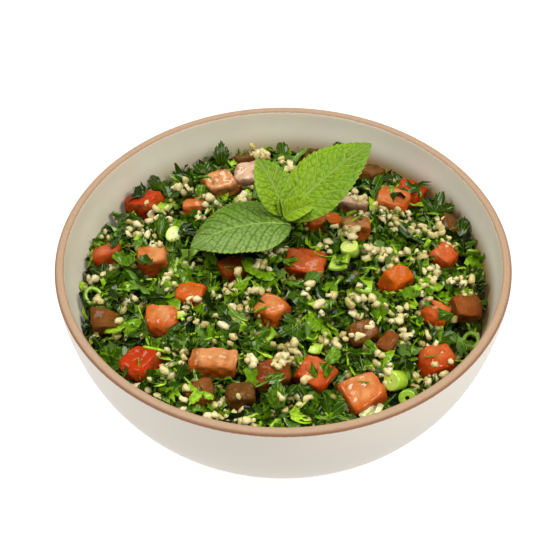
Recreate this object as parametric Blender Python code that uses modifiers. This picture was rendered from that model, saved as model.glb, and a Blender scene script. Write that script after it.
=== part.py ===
"""Tabbouleh salad in a stoneware bowl, garnished with a sprig of mint.

Three pieces, in metres, +Z up. The origin is the centre of the foot, on the table, and -Y faces the guest.
    bowl         turned stoneware bowl with a rounded lip and a low foot ring
    salad        the heap, out to its lumpy surface, with the tomato dice that stand out of it
    mint_sprig   four mint leaves on a short stem, resting on the heap
"""

from math import cos, hypot, log, pi, radians, sin

import bmesh
import bpy
from mathutils import Matrix, Vector, noise

MM = 0.001

# Driving dimensions of the bowl
BOWL_RADIUS = 100 * MM
BOWL_HEIGHT = 70 * MM
LIP_THICKNESS = 4.2 * MM
LIP_OUTER_ROUND = 1.8 * MM
LIP_INNER_ROUND = 1.4 * MM
FOOT_HEIGHT = 2.5 * MM
FOOT_OUTER_RADIUS = 56 * MM
FOOT_WIDTH = 6 * MM
INNER_DEPTH = 61 * MM

# A wall is a superellipse, its radius falling to nothing at the reach of the curve.
OUTER_REACH = 71.2 * MM
INNER_REACH = 63 * MM
DEPTH_POWER = 1.94
RADIUS_POWER = 4.89
WALL_STEPS = 9
BOWL_SEGMENTS = 56

# The heap: where it meets the wall, how far its middle stands above that, and its lumps
CLEARANCE = 0.5 * MM
SALAD_DEPTH = 25 * MM
SALAD_RISE = 16 * MM
DOME_POWER = 0.8
SURFACE_STEPS = 31
LUMP_HEIGHT = 4.2 * MM
LUMP_SIZE = 13 * MM
DIE_SINK = 0.12
DIE_LIFT = 2.2 * MM
DIE_ROUND = 0.8 * MM
STEEPEST_DIE = 0.45

# The dice of tomato that stand out of the heap: x, y, length, width and height in mm, and turn in degrees
DICE = (
    (-66, 49, 15, 11, 11, -18),
    (-80, 14, 13, 12, 13, 8),
    (-30, 56, 15, 14, 12, 30),
    (-16, 61, 12, 10, 9, -10),
    (-41, 39, 12, 7, 9, 5),
    (-58, 6, 14, 13, 12, 14),
    (-22, -5, 13, 10, 9, 25),
    (-40, -18, 13, 12, 11, -12),
    (-5, -29, 14, 12, 13, -32),
    (10, -3, 19, 15, 9, -14),
    (52, 45, 15, 13, 11, -16),
    (62, 57, 12, 11, 12, -22),
    (19, 25, 14, 9, 8, 12),
    (33, 23, 15, 10, 9, 6),
    (50, -8, 13, 12, 13, 36),
    (73, 11, 11, 10, 9, 50),
    (66, -25, 12, 10, 10, -38),
    (80, -19, 13, 11, 11, 10),
    (34, -39, 11, 11, 10, 28),
    (44, -43, 10, 8, 8, 60),
    (13, -59, 16, 14, 12, -34),
    (-6, -60, 15, 12, 9, 20),
    (33, -66, 17, 15, 11, 34),
    (65, -48, 15, 13, 11, 24),
    (-77, -26, 14, 11, 10, -12),
    (-51, -30, 15, 11, 10, -10),
    (-59, -50, 15, 14, 12, -28),
    (-28, -54, 18, 11, 11, -6),
    (-34, -67, 13, 10, 8, 22),
    (-17, -68, 12, 9, 8, 2),
    (-17, 80, 13, 10, 10, 12),
    (14, 82, 12, 11, 10, -15),
    (43, 70, 12, 12, 10, 40),
    (-48, 66, 13, 11, 10, 35),
    (80, 34, 12, 11, 10, 15),
)

# The mint sprig: where its leaves meet, its stem, and the thickness of a leaf
SPRIG_X = 0.5 * MM
SPRIG_Y = 14.5 * MM
SPRIG_RISE = 4 * MM
STEM_RADIUS = 1.3 * MM
STEM_TOP = 1.5 * MM
STEM_LENGTH = 10.5 * MM
LEAF_THICKNESS = 0.9 * MM
LEAF_STEPS = 12
LEAF_CROSS_STEPS = 4
LEAF_NECK = 0.9 * MM
LEAF_WIDEST_AT = 0.42
LEAF_BLUNTNESS = 0.68

# Each leaf: offset of its base, length, width, heading and pitch at base and tip, roll, fold and droop
LEAVES = {
    "left": ((2.0, -1.0, 0.0), 46.5, 36.0, (186, 204), (14, -26), 12, 7, 0.12),
    "right": ((0.0, 0.0, 0.0), 52.0, 30.0, (33, 29), (38, 18), 0, 12, 0.15),
    "back": ((0.0, 1.0, 0.6), 29.0, 19.0, (112, 134), (50, 24), 0, 14, 0.10),
    "front": ((0.0, -0.6, 1.0), 14.5, 10.0, (20, 5), (38, -5), 30, 10, 0.10),
}


def clear_scene():
    """Removes every object of the scene that the script is run in."""
    for scene_object in list(bpy.data.objects):
        bpy.data.objects.remove(scene_object, do_unlink=True)


def collection(name):
    """A new collection of the scene."""
    made = bpy.data.collections.new(name)
    bpy.context.scene.collection.children.link(made)
    return made


def material(name, colour, roughness):
    """A Principled finish of one colour."""
    made = bpy.data.materials.new(name)
    made.use_nodes = True
    shader = made.node_tree.nodes["Principled BSDF"]
    shader.inputs["Base Color"].default_value = (*colour, 1.0)
    shader.inputs["Roughness"].default_value = roughness
    shader.inputs["Metallic"].default_value = 0.0
    return made


def keep(made, name, home, finish):
    """Names a new object, moves it to its collection and gives it its finish."""
    made.name = name
    for old_home in list(made.users_collection):
        old_home.objects.unlink(made)
    home.objects.link(made)
    made.data.materials.clear()
    made.data.materials.append(finish)
    return made


def evaluated_mesh(source):
    """The mesh that an object's modifiers make, in the object's own space."""
    bpy.context.view_layer.update()
    return bpy.data.meshes.new_from_object(source.evaluated_get(bpy.context.evaluated_depsgraph_get()))


def wall_radius(depth, radius, reach):
    """Radius of a bowl wall at a depth below the lip."""
    return radius * (1 - min(depth / reach, 1) ** DEPTH_POWER) ** (1 / RADIUS_POWER)


def inner_radius(depth):
    """Radius of the inside of the bowl at a depth below the lip."""
    return wall_radius(depth, BOWL_RADIUS - LIP_THICKNESS, INNER_REACH)


def wall_depths(first, last):
    """Depths down a wall, closer together towards its base, where it curves most."""
    return [first + (last - first) * sin(pi / 2 * step / WALL_STEPS) for step in range(WALL_STEPS + 1)]


def lip_round(centre_radius, round_radius, first_angle, last_angle, steps=4):
    """An arc of the rounded lip, as points of radius and height."""
    centre_height = BOWL_HEIGHT - round_radius
    points = []
    for step in range(steps + 1):
        angle = radians(first_angle + (last_angle - first_angle) * step / steps)
        points.append((centre_radius + round_radius * cos(angle), centre_height + round_radius * sin(angle)))
    return points


def bowl_profile():
    """Outline of half the bowl's section, up the inside, over the lip and down the outside."""
    inside = [(inner_radius(depth), BOWL_HEIGHT - depth) for depth in wall_depths(LIP_INNER_ROUND, INNER_DEPTH)]
    lip_inside = BOWL_RADIUS - LIP_THICKNESS + LIP_INNER_ROUND
    lip_outside = BOWL_RADIUS - LIP_OUTER_ROUND
    outer_depths = wall_depths(LIP_OUTER_ROUND, BOWL_HEIGHT - FOOT_HEIGHT)
    outside = [
        (wall_radius(depth, BOWL_RADIUS, OUTER_REACH), BOWL_HEIGHT - depth) for depth in outer_depths
    ]
    foot = [
        (FOOT_OUTER_RADIUS, FOOT_HEIGHT),
        (FOOT_OUTER_RADIUS - 1 * MM, 0.0),
        (FOOT_OUTER_RADIUS - FOOT_WIDTH, 0.0),
        (FOOT_OUTER_RADIUS - FOOT_WIDTH - 1 * MM, FOOT_HEIGHT),
    ]
    points = [(0.0, BOWL_HEIGHT - INNER_DEPTH)] + inside[::-1]
    points += lip_round(lip_inside, LIP_INNER_ROUND, 180, 90)[1:]
    points += lip_round(lip_outside, LIP_OUTER_ROUND, 90, 0)
    points += outside[1:] + foot + [(0.0, FOOT_HEIGHT)]
    return points


def turned(name, profile, segments, home, finish):
    """A solid turned from a profile of radius and height, which starts and ends on the axis."""
    mesh = bpy.data.meshes.new(name)
    corners = [(radius, 0.0, height) for radius, height in profile]
    mesh.from_pydata(corners, [(i, i + 1) for i in range(len(corners) - 1)], [])
    made = bpy.data.objects.new(name, mesh)
    bpy.context.scene.collection.objects.link(made)
    screw = made.modifiers.new("turn", "SCREW")
    screw.steps = segments
    screw.render_steps = segments
    screw.use_merge_vertices = True
    screw.merge_threshold = 0.05 * MM
    screw.use_smooth_shade = True
    return keep(made, name, home, finish)


def dome_height(radius):
    """Height of the smooth heap at a distance from its middle, level from the wall outwards."""
    share = min(radius / inner_radius(SALAD_DEPTH), 1)
    return BOWL_HEIGHT - SALAD_DEPTH + SALAD_RISE * (1 - share * share) ** DOME_POWER


def lump(x, y):
    """Height of the heap's lumps above or below its smooth shape."""
    coarse = noise.noise(Vector((x / LUMP_SIZE, y / LUMP_SIZE, 3.7)))
    fine = noise.noise(Vector((2.1 * x / LUMP_SIZE, 2.1 * y / LUMP_SIZE, 8.1)))
    return LUMP_HEIGHT * (coarse + 0.6 * fine)


def bowl_filling(home, finish):
    """Everything that fits in the bowl's hollow, clear of its wall and floor, as a helper."""
    depths = [-LIP_THICKNESS] + wall_depths(LIP_THICKNESS, INNER_DEPTH - CLEARANCE)
    side = [(inner_radius(max(depth, 0)) - CLEARANCE, BOWL_HEIGHT - depth) for depth in depths]
    top = BOWL_HEIGHT + LIP_THICKNESS
    floor = BOWL_HEIGHT - INNER_DEPTH + CLEARANCE
    return turned("bowl_filling", [(0.0, top)] + side + [(0.0, floor)], BOWL_SEGMENTS, home, finish)


def lumpy_block(home, finish):
    """A square block whose top is the heap's lumpy surface and whose foot is below the bowl's floor."""
    bpy.ops.mesh.primitive_grid_add(
        x_subdivisions=SURFACE_STEPS, y_subdivisions=SURFACE_STEPS, size=2 * BOWL_RADIUS
    )
    block = bpy.context.object
    shape = bmesh.new()
    shape.from_mesh(block.data)
    for vertex in shape.verts:
        vertex.co.z = dome_height(hypot(vertex.co.x, vertex.co.y)) + lump(vertex.co.x, vertex.co.y)
    top = list(shape.faces)
    bmesh.ops.reverse_faces(shape, faces=top)
    lower = bmesh.ops.extrude_face_region(shape, geom=top, use_keep_orig=True)["geom"]
    for element in lower:
        if isinstance(element, bmesh.types.BMVert):
            element.co.z = -FOOT_HEIGHT
    bmesh.ops.recalc_face_normals(shape, faces=shape.faces)
    shape.to_mesh(block.data)
    shape.free()
    return keep(block, "salad", home, finish)


def make_die(place, home, finish):
    """One die of tomato, laid on the slope of the heap, as a helper to join to it."""
    x, y, length, width, height, turn = place
    x, y = x * MM, y * MM
    distance = max(hypot(x, y), MM)
    slope = (dome_height(distance + MM) - dome_height(distance - MM)) / (2 * MM)
    slope = max(slope, -STEEPEST_DIE)
    outward = Vector((-slope * x / distance, -slope * y / distance, 1.0))
    tilt = Vector((0, 0, 1)).rotation_difference(outward).to_matrix().to_4x4()
    centre = Vector((x, y, dome_height(distance) + DIE_LIFT - DIE_SINK * height * MM))
    bpy.ops.mesh.primitive_cube_add(size=1)
    cube = bpy.context.object
    cube.data.transform(Matrix.Diagonal((length * MM, width * MM, height * MM, 1)))
    cube.matrix_world = Matrix.Translation(centre) @ tilt @ Matrix.Rotation(radians(turn), 4, "Z")
    bevel = cube.modifiers.new("round", "BEVEL")
    bevel.width = DIE_ROUND
    bevel.segments = 1
    return keep(cube, "die", home, finish)


def combine(target, helpers, operation):
    """Joins or trims the target with each helper, and keeps the helpers out of the model."""
    for helper in helpers:
        step = target.modifiers.new(helper.name, "BOOLEAN")
        step.operation = operation
        step.solver = "EXACT"
        step.object = helper
        helper.hide_render = True
        helper.display_type = "WIRE"


def make_salad(home, helpers, finish):
    """The lumpy heap joined to the dice that stand out of it, trimmed to the bowl's hollow."""
    salad = lumpy_block(home, finish)
    combine(salad, [make_die(place, helpers, finish) for place in DICE], "UNION")
    combine(salad, [bowl_filling(helpers, finish)], "INTERSECT")
    return salad


def leaf_half_width(along, width):
    """Half the width of an ovate leaf at a share of its length."""
    swell = sin(pi * along ** (log(0.5) / log(LEAF_WIDEST_AT)))
    return max(width / 2 * max(swell, 0.0) ** LEAF_BLUNTNESS, LEAF_NECK)


def leaf_spine(base, length, heading, pitch):
    """Points down a leaf's midrib, each with its direction, as the leaf turns and droops."""
    spine = []
    point = base.copy()
    last_direction = None
    for step in range(LEAF_STEPS + 1):
        along = step / LEAF_STEPS
        turn = radians(heading[0] + (heading[1] - heading[0]) * along)
        lift = radians(pitch[0] + (pitch[1] - pitch[0]) * along)
        direction = Vector((cos(turn) * cos(lift), sin(turn) * cos(lift), sin(lift)))
        if last_direction is not None:
            point = point + (direction + last_direction) * (length / LEAF_STEPS / 2)
        spine.append((along, point.copy(), direction))
        last_direction = direction
    return spine


def make_leaf(name, leaf, join, home, finish):
    """A leaf blade: a flat grid bent to its midrib, fold and droop, and given its thickness."""
    offset, length, width, heading, pitch, roll, fold, droop = leaf
    spine = leaf_spine(join + Vector(offset) * MM, length * MM, heading, pitch)
    bpy.ops.mesh.primitive_grid_add(x_subdivisions=LEAF_STEPS, y_subdivisions=LEAF_CROSS_STEPS, size=1)
    blade = bpy.context.object
    for vertex in blade.data.vertices:
        along, point, direction = spine[round((vertex.co.x + 0.5) * LEAF_STEPS)]
        across = vertex.co.y * 2
        side = Vector((0, 0, 1)).cross(direction).normalized()
        side = Matrix.Rotation(radians(roll), 3, direction) @ side
        upward = direction.cross(side)
        reach = leaf_half_width(along, width * MM)
        rise = abs(across) * sin(radians(fold)) - droop * across * across
        vertex.co = point + side * (across * reach * cos(radians(fold))) + upward * (rise * reach)
    thickness = blade.modifiers.new("thickness", "SOLIDIFY")
    thickness.thickness = LEAF_THICKNESS
    thickness.offset = -1
    return keep(blade, name, home, finish)


def make_stem(join, home, finish):
    """The stub of stem under the leaves, as a closed mesh."""
    curve = bpy.data.curves.new("stem_line", "CURVE")
    curve.dimensions = "3D"
    curve.bevel_depth = STEM_RADIUS
    curve.bevel_resolution = 2
    curve.use_fill_caps = True
    line = curve.splines.new("POLY")
    line.points.add(2)
    heights = (STEM_TOP, -STEM_LENGTH / 2, -STEM_LENGTH)
    leans = (0.0, 0.4 * MM, 1.4 * MM)
    for point, height, lean in zip(line.points, heights, leans):
        point.co = (join.x + lean, join.y - lean / 2, join.z + height, 1.0)
    rod = bpy.data.objects.new("stem_line", curve)
    bpy.context.scene.collection.objects.link(rod)
    mesh = evaluated_mesh(rod)
    place = rod.matrix_world.copy()
    bpy.data.objects.remove(rod, do_unlink=True)
    cleaner = bmesh.new()
    cleaner.from_mesh(mesh)
    bmesh.ops.remove_doubles(cleaner, verts=cleaner.verts, dist=0.01 * MM)
    cleaner.to_mesh(mesh)
    cleaner.free()
    stem = bpy.data.objects.new("mint_sprig", mesh)
    stem.matrix_world = place
    bpy.context.scene.collection.objects.link(stem)
    return keep(stem, "mint_sprig", home, finish)


def make_sprig(home, helpers, finish):
    """The stem joined to its four leaves."""
    join = Vector((SPRIG_X, SPRIG_Y, BOWL_HEIGHT + SPRIG_RISE))
    stem = make_stem(join, home, finish)
    blades = [make_leaf("leaf_" + name, leaf, join, helpers, finish) for name, leaf in LEAVES.items()]
    combine(stem, blades, "UNION")
    return stem


def main():
    """Builds the three pieces in their own collection."""
    clear_scene()
    home = collection("tabbouleh_salad")
    helpers = collection("joining_shapes")
    stoneware = material("stoneware", (0.72, 0.68, 0.60), 0.45)
    parsley = material("dressed_parsley", (0.07, 0.20, 0.03), 0.40)
    mint = material("mint_leaf", (0.25, 0.50, 0.08), 0.50)
    turned("bowl", bowl_profile(), BOWL_SEGMENTS, home, stoneware)
    make_salad(home, helpers, parsley)
    make_sprig(home, helpers, mint)


main()
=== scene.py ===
"""Looks of the tabbouleh salad: stoneware bowl, chopped parsley, tomato, bulgur, spring onion and mint.

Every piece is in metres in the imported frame: +Z up, origin at the middle of the foot, -Y towards the guest.
"""

import logging
import math
from dataclasses import dataclass
from enum import Enum

import bmesh
import bpy
import numpy as np
from mathutils import Matrix, Vector, noise
from mathutils.bvhtree import BVHTree


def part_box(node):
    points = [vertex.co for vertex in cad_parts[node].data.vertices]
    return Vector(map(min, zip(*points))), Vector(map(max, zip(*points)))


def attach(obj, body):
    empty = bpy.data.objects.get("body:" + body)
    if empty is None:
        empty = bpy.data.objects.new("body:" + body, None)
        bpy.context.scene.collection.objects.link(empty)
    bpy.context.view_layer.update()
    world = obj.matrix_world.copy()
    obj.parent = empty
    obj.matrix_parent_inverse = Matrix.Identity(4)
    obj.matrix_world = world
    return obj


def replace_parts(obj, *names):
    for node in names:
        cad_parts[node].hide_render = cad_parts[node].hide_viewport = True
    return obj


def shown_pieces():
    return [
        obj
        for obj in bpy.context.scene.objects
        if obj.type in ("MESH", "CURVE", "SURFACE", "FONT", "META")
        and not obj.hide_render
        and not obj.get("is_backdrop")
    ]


MM = 0.001
GOLDEN_ANGLE = 2.399963
RAY_START = 0.2

Noises = tuple[tuple[float, float, float], ...]
Stops = tuple[tuple[float, str], ...]

MATH, MIX, NOISE, RANGE = "ShaderNodeMath", "ShaderNodeMix", "ShaderNodeTexNoise", "ShaderNodeMapRange"
RAMP, BUMP, VALUE, PLACE = "ShaderNodeValToRGB", "ShaderNodeBump", "ShaderNodeAttribute", "ShaderNodeTexCoord"
PLUS, TIMES, TIMES_PLUS = ({"operation": name} for name in ("ADD", "MULTIPLY", "MULTIPLY_ADD"))
COVER = {"data_type": "RGBA", "clamp_result": True}
TINT = {**COVER, "blend_type": "MULTIPLY"}

log = logging.getLogger("tabbouleh")

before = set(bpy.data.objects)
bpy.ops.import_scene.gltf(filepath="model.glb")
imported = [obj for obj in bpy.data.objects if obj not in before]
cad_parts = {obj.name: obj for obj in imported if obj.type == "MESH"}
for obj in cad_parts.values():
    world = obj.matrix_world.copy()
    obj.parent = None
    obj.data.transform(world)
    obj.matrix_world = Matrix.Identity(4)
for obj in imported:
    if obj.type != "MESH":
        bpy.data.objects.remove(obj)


# ---------------------------------------------------------------- shared tools


def linear(hex_colour: str) -> tuple[float, float, float, float]:
    """Turns an sRGB colour into the linear values that Blender's sockets take.

    Args:
        hex_colour: six hex digits, with or without a leading #.

    Returns:
        Red, green, blue and alpha, each from 0 to 1.
    """
    digits = hex_colour.lstrip("#")
    shares = [int(digits[i:i + 2], 16) / 255 for i in (0, 2, 4)]
    return (*[s / 12.92 if s <= 0.04045 else ((s + 0.055) / 1.055) ** 2.4 for s in shares], 1.0)


def feed(tree: bpy.types.NodeTree, node: bpy.types.Node, inputs: dict) -> None:
    """Gives a node its values and links.

    Args:
        tree: the node tree.
        node: the node.
        inputs: socket names or numbers, each with a value or the socket that feeds it.
    """
    for key, value in inputs.items():
        if isinstance(value, bpy.types.NodeSocket):
            tree.links.new(value, node.inputs[key])
        else:
            node.inputs[key].default_value = value


def add_node(tree: bpy.types.NodeTree, kind: str, settings: dict | None = None, inputs: dict | None = None,
             output: int | str = 0) -> bpy.types.NodeSocket:
    """Adds a node, sets its options and values, and links sockets into it.

    Args:
        tree: the material's node tree.
        kind: the node's type name.
        settings: option names and values; those of a colour ramp are positions and hex colours in order.
        inputs: socket names or numbers, each with a value or the socket that feeds it.
        output: the name or number of the output that is wanted.

    Returns:
        That output.
    """
    node = tree.nodes.new(kind)
    for key, value in (settings or {}).items():
        if key != "color_ramp":
            setattr(node, key, value)
            continue
        stops = node.color_ramp.elements
        while len(stops) < len(value):
            stops.new(0.5)
        for stop, (position, colour) in zip(stops, value):
            stop.position, stop.color = position, linear(colour)
    feed(tree, node, inputs or {})
    return node.outputs[output]


def make_piece(name: str, points: np.ndarray, faces: np.ndarray, finish: bpy.types.Material,
               attributes: dict[str, np.ndarray] | None = None) -> bpy.types.Object:
    """Makes one smooth-shaded mesh object from arrays and lets it ride on the bowl's body.

    Args:
        name: the piece's name.
        points: corner positions in metres, one row each.
        faces: corner numbers, all faces with equally many corners.
        finish: the material.
        attributes: numbers that each point carries for the material.

    Returns:
        The object, linked to the scene.
    """
    mesh = bpy.data.meshes.new(name)
    mesh.vertices.add(len(points))
    mesh.vertices.foreach_set("co", np.ascontiguousarray(points, np.float32).ravel())
    count, sides = faces.shape
    mesh.loops.add(count * sides)
    mesh.loops.foreach_set("vertex_index", np.ascontiguousarray(faces, np.int32).ravel())
    mesh.polygons.add(count)
    mesh.polygons.foreach_set("loop_start", np.arange(count, dtype=np.int32) * sides)
    mesh.update(calc_edges=True)
    for key, values in (attributes or {}).items():
        made = mesh.attributes.new(key, "FLOAT", "POINT")
        made.data.foreach_set("value", np.ascontiguousarray(values, np.float32).ravel())
    mesh.shade_smooth()
    mesh.materials.append(finish)
    piece = bpy.data.objects.new(name, mesh)
    bpy.context.scene.collection.objects.link(piece)
    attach(piece, "root")
    log.info("%s: %d faces", name, count)
    return piece


def grid_faces(rows: int, columns: int) -> np.ndarray:
    """The triangles of a grid of points laid out row by row, with alternate diagonals.

    Args:
        rows: how many rows of points.
        columns: how many points in a row.

    Returns:
        Corner numbers of each triangle.
    """
    faces = []
    for i in range(rows - 1):
        for j in range(columns - 1):
            a, b = i * columns + j, i * columns + j + 1
            c, d = a + columns, b + columns
            faces += [(a, c, b), (b, c, d)] if (i + j) % 2 else [(a, c, d), (a, d, b)]
    return np.array(faces, np.int32)


def repeat_faces(template: np.ndarray, copies: int, points_each: int) -> np.ndarray:
    """The faces of many equal shapes whose points follow each other."""
    shift = np.arange(copies, dtype=np.int32)[:, None, None] * points_each
    return (template[None] + shift).reshape(-1, template.shape[1])


def ring_faces(rings: int, sides: int, capped: bool = False) -> np.ndarray:
    """The triangles of closed rings of points that follow each other, as of a tube.

    Args:
        rings: how many rings.
        sides: how many points in a ring.
        capped: whether the first and last rings are closed with fans.

    Returns:
        Corner numbers of each triangle.
    """
    faces, last = [], (rings - 1) * sides
    for i in range(rings - 1):
        for j in range(sides):
            a, b = i * sides + j, i * sides + (j + 1) % sides
            faces += [(a, b, b + sides), (a, b + sides, a + sides)]
    for j in range(1, sides - 1) if capped else ():
        faces += [(0, j + 1, j), (last, last + j, last + j + 1)]
    return np.array(faces, np.int32)


def scatter(count: int, reach: float, turn: float,
            chance: np.random.Generator) -> tuple[np.ndarray, np.ndarray]:
    """Evenly scattered places over a disc.

    Args:
        count: how many.
        reach: the disc's radius.
        turn: how far a place may be turned by chance, in radians.
        chance: the source of their unevenness.

    Returns:
        Their x and y.
    """
    number = np.arange(count) + chance.uniform(0, 1, count)
    distance = reach * np.sqrt(number / count)
    angle = number * GOLDEN_ANGLE + chance.uniform(0, turn, count)
    return distance * np.cos(angle), distance * np.sin(angle)


def arched(x: np.ndarray, z: np.ndarray, arch: np.ndarray) -> tuple[np.ndarray, np.ndarray]:
    """Bends a shape along X over an arch of some radius, as its new x and z."""
    return (arch - z) * np.sin(x / arch), arch * (np.cos(x / arch) - 1) + z * np.cos(x / arch)


def ray_tree(pieces: list[bpy.types.Object], corners: list[Vector], faces: list[list[int]]) -> BVHTree:
    """Gathers pieces in a tree to cast rays on.

    Args:
        pieces: the pieces.
        corners: points that the tree holds besides.
        faces: the corner numbers of those points' faces.

    Returns:
        The tree.
    """
    for piece in pieces:
        start = len(corners)
        corners += [v.co.copy() for v in piece.data.vertices]
        faces += [[start + i for i in p.vertices] for p in piece.data.polygons]
    return BVHTree.FromPolygons(corners, faces)


def rotations(axis: np.ndarray, angle: np.ndarray) -> np.ndarray:
    """Rotation matrices about unit axes.

    Args:
        axis: one unit axis a row.
        angle: one angle each, in radians.

    Returns:
        One 3 by 3 matrix for each axis.
    """
    x, y, z = axis.T
    c, s = np.cos(angle), np.sin(angle)
    k = 1 - c
    return np.stack([
        np.stack([c + x * x * k, x * y * k - z * s, x * z * k + y * s], -1),
        np.stack([y * x * k + z * s, c + y * y * k, y * z * k - x * s], -1),
        np.stack([z * x * k - y * s, z * y * k + x * s, c + z * z * k], -1),
    ], 1)


def smooth_step(low: float, high: float, value: np.ndarray) -> np.ndarray:
    """Rises smoothly from 0 at low to 1 at high."""
    share = np.clip((value - low) / (high - low), 0, 1)
    return share * share * (3 - 2 * share)


def wavy(points: np.ndarray, size: float, seed: int) -> np.ndarray:
    """Smooth uneven values from about -1 to 1 over points in space.

    Args:
        points: positions, one row each.
        size: the size of a swell, in metres.
        seed: picks the pattern.

    Returns:
        One value for each point.
    """
    chance = np.random.default_rng(seed)
    total = np.zeros(len(points))
    for _ in range(7):
        way = chance.normal(size=3)
        way *= chance.uniform(0.7, 1.6) / np.linalg.norm(way)
        total += np.sin(points @ way * (2 * math.pi / size) + chance.uniform(0, 6.28))
    return total / 3.2


# ---------------------------------------------------------------- finishes


@dataclass(frozen=True)
class Finish:
    """What every finish has: its gloss, the noise it is made with and the numbers it reads from the piece.

    Each noise is the size of a feature in mm, how many finer layers it has and how strong these are.
    """

    name: str
    roughness: float = 0.4
    ior: float = 1.45
    coat: float = 0.0
    coat_roughness: float = 0.1
    noises: Noises = ()
    reads: tuple[str, ...] = ()

    def start(self) -> tuple[bpy.types.Material, bpy.types.NodeTree, bpy.types.Node, list, list]:
        """Starts the material.

        Returns:
            The material, its node tree, its Principled shader, its noises and the numbers it reads.
        """
        made = bpy.data.materials.new(self.name)
        made.use_nodes = True
        tree = made.node_tree
        shader = tree.nodes["Principled BSDF"]
        feed(tree, shader, {"Roughness": self.roughness, "IOR": self.ior, "Coat Weight": self.coat,
                            "Coat Roughness": self.coat_roughness})
        place = add_node(tree, PLACE, output="Object")
        noises = [
            add_node(tree, NOISE, inputs={
                "Vector": place, "Scale": 1 / (size * MM), "Detail": detail, "Roughness": rough})
            for size, detail, rough in self.noises
        ]
        values = [add_node(tree, VALUE, {"attribute_name": name}, output="Fac") for name in self.reads]
        return made, tree, shader, noises, values


@dataclass(frozen=True)
class GlazedStoneware(Finish):
    """Stoneware, wheel-thrown, dipped in a warm white satin glaze and wiped bare over the lip.

    The eye sees a soft cream white and a clay-brown band round the lip. Painted shade darkens the outer side
    of that band, the whole outside, more so towards the foot, and the inside just above the food, more to the
    right and back.
    The bands lie at distances in mm along the surface from the top of the lip, less than nothing inside.
    """

    name: str = "glazed_stoneware"
    roughness: float = 0.38
    ior: float = 1.5
    # Waver of the wiped edge, clouds in the glaze, grit in the clay, and pinholes, drawn coarser than real.
    noises: Noises = ((1.6, 2.0, 0.55), (18.0, 4.0, 0.55), (1.1, 5.0, 0.7), (0.9, 2.0, 0.55))
    reads: tuple[str, ...] = ("lip",)
    glaze: str = "#f2ecdc"
    glaze_shade: str = "#e0dac6"
    # The outside is painted darker than the inside glaze: painted shade.
    shaded_outer_glaze: str = "#b9bfb7"
    # Darkens the outside towards the foot: painted shade.
    painted_foot_shade: str = "#e0e0dd"
    thin_glaze: str = "#efdccb"
    # Painted shade on the inside just above the food.
    painted_food_shade: str = "#a88e62"
    clay: str = "#a08a70"
    clay_dark: str = "#95704f"
    # The outer side of the lip's band is painted darker than its top: painted shade.
    clay_side_shade: str = "#86593c"
    lip_inside: float = -2.1
    lip_outside: float = 3.0
    bare_roughness: float = 0.24

    def make(self) -> bpy.types.Material:
        """Makes the glaze with its bare lip."""
        made, tree, shader, (ragged, clouds, grit, pores), (lip,) = self.start()
        ragged = add_node(tree, MATH, TIMES_PLUS, {0: ragged, 1: 0.5, 2: -0.25})
        lip = add_node(tree, MATH, PLUS, {0: lip, 1: ragged})
        inside, outside = self.lip_inside, self.lip_outside
        # Masks of painted shade: the inside just above the food, the whole outside, towards the foot, and the
        # lip's outer side.
        food_shade_share, outer, foot, side, from_inside, from_outside, thinning = (
            add_node(tree, RANGE, {"interpolation_type": way},
                     {"Value": lip, "From Min": low, "From Max": high})
            for way, low, high in (
                ("SMOOTHERSTEP", -11.0, -27.0), ("LINEAR", -0.5, 0.5), ("LINEAR", 12.0, 55.0),
                ("SMOOTHSTEP", 0.8, 2.4), ("SMOOTHSTEP", inside - 0.25, inside + 0.25),
                ("SMOOTHSTEP", outside + 0.3, outside - 0.3), ("SMOOTHSTEP", inside - 3.2, inside - 0.4),
            )
        )
        place = add_node(tree, PLACE, output="Object")
        across = add_node(tree, "ShaderNodeSeparateXYZ", inputs={"Vector": place})
        # The painted shade above the food grows to the right and back.
        food_shade_by_side = add_node(tree, MATH, TIMES_PLUS, {0: across, 1: 5.0, 2: 0.6})
        food_shade_by_side = add_node(tree, MATH, TIMES_PLUS, {0: across.node.outputs["Y"], 1: 3.4, 2: food_shade_by_side})
        food_shade_share = add_node(tree, MATH, TIMES, {0: food_shade_share, 1: food_shade_by_side})
        thinning = add_node(tree, MATH, TIMES, {0: thinning, 1: 0.55})
        bare = add_node(tree, MATH, TIMES, {0: from_inside, 1: from_outside})
        clay = add_node(tree, MIX, COVER, {0: grit, 6: linear(self.clay), 7: linear(self.clay_dark)}, 2)
        clay = add_node(tree, MIX, COVER, {0: side, 6: clay, 7: linear(self.clay_side_shade)}, 2)
        body = linear(self.glaze)
        for way, share, colour in (
            (COVER, clouds, linear(self.glaze_shade)), (TINT, food_shade_share, linear(self.painted_food_shade)),
            (COVER, outer, linear(self.shaded_outer_glaze)), (TINT, foot, linear(self.painted_foot_shade)),
            (COVER, thinning, linear(self.thin_glaze)), (COVER, bare, clay),
        ):
            body = add_node(tree, MIX, way, {0: share, 6: body, 7: colour}, 2)
        gloss = add_node(tree, MATH, TIMES_PLUS, {0: bare, 1: self.bare_roughness, 2: self.roughness})
        bump = add_node(tree, BUMP, inputs={"Distance": 0.03 * MM, "Height": pores})
        feed(tree, shader, {"Base Color": body, "Roughness": gloss, "Normal": bump})
        return made


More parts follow.
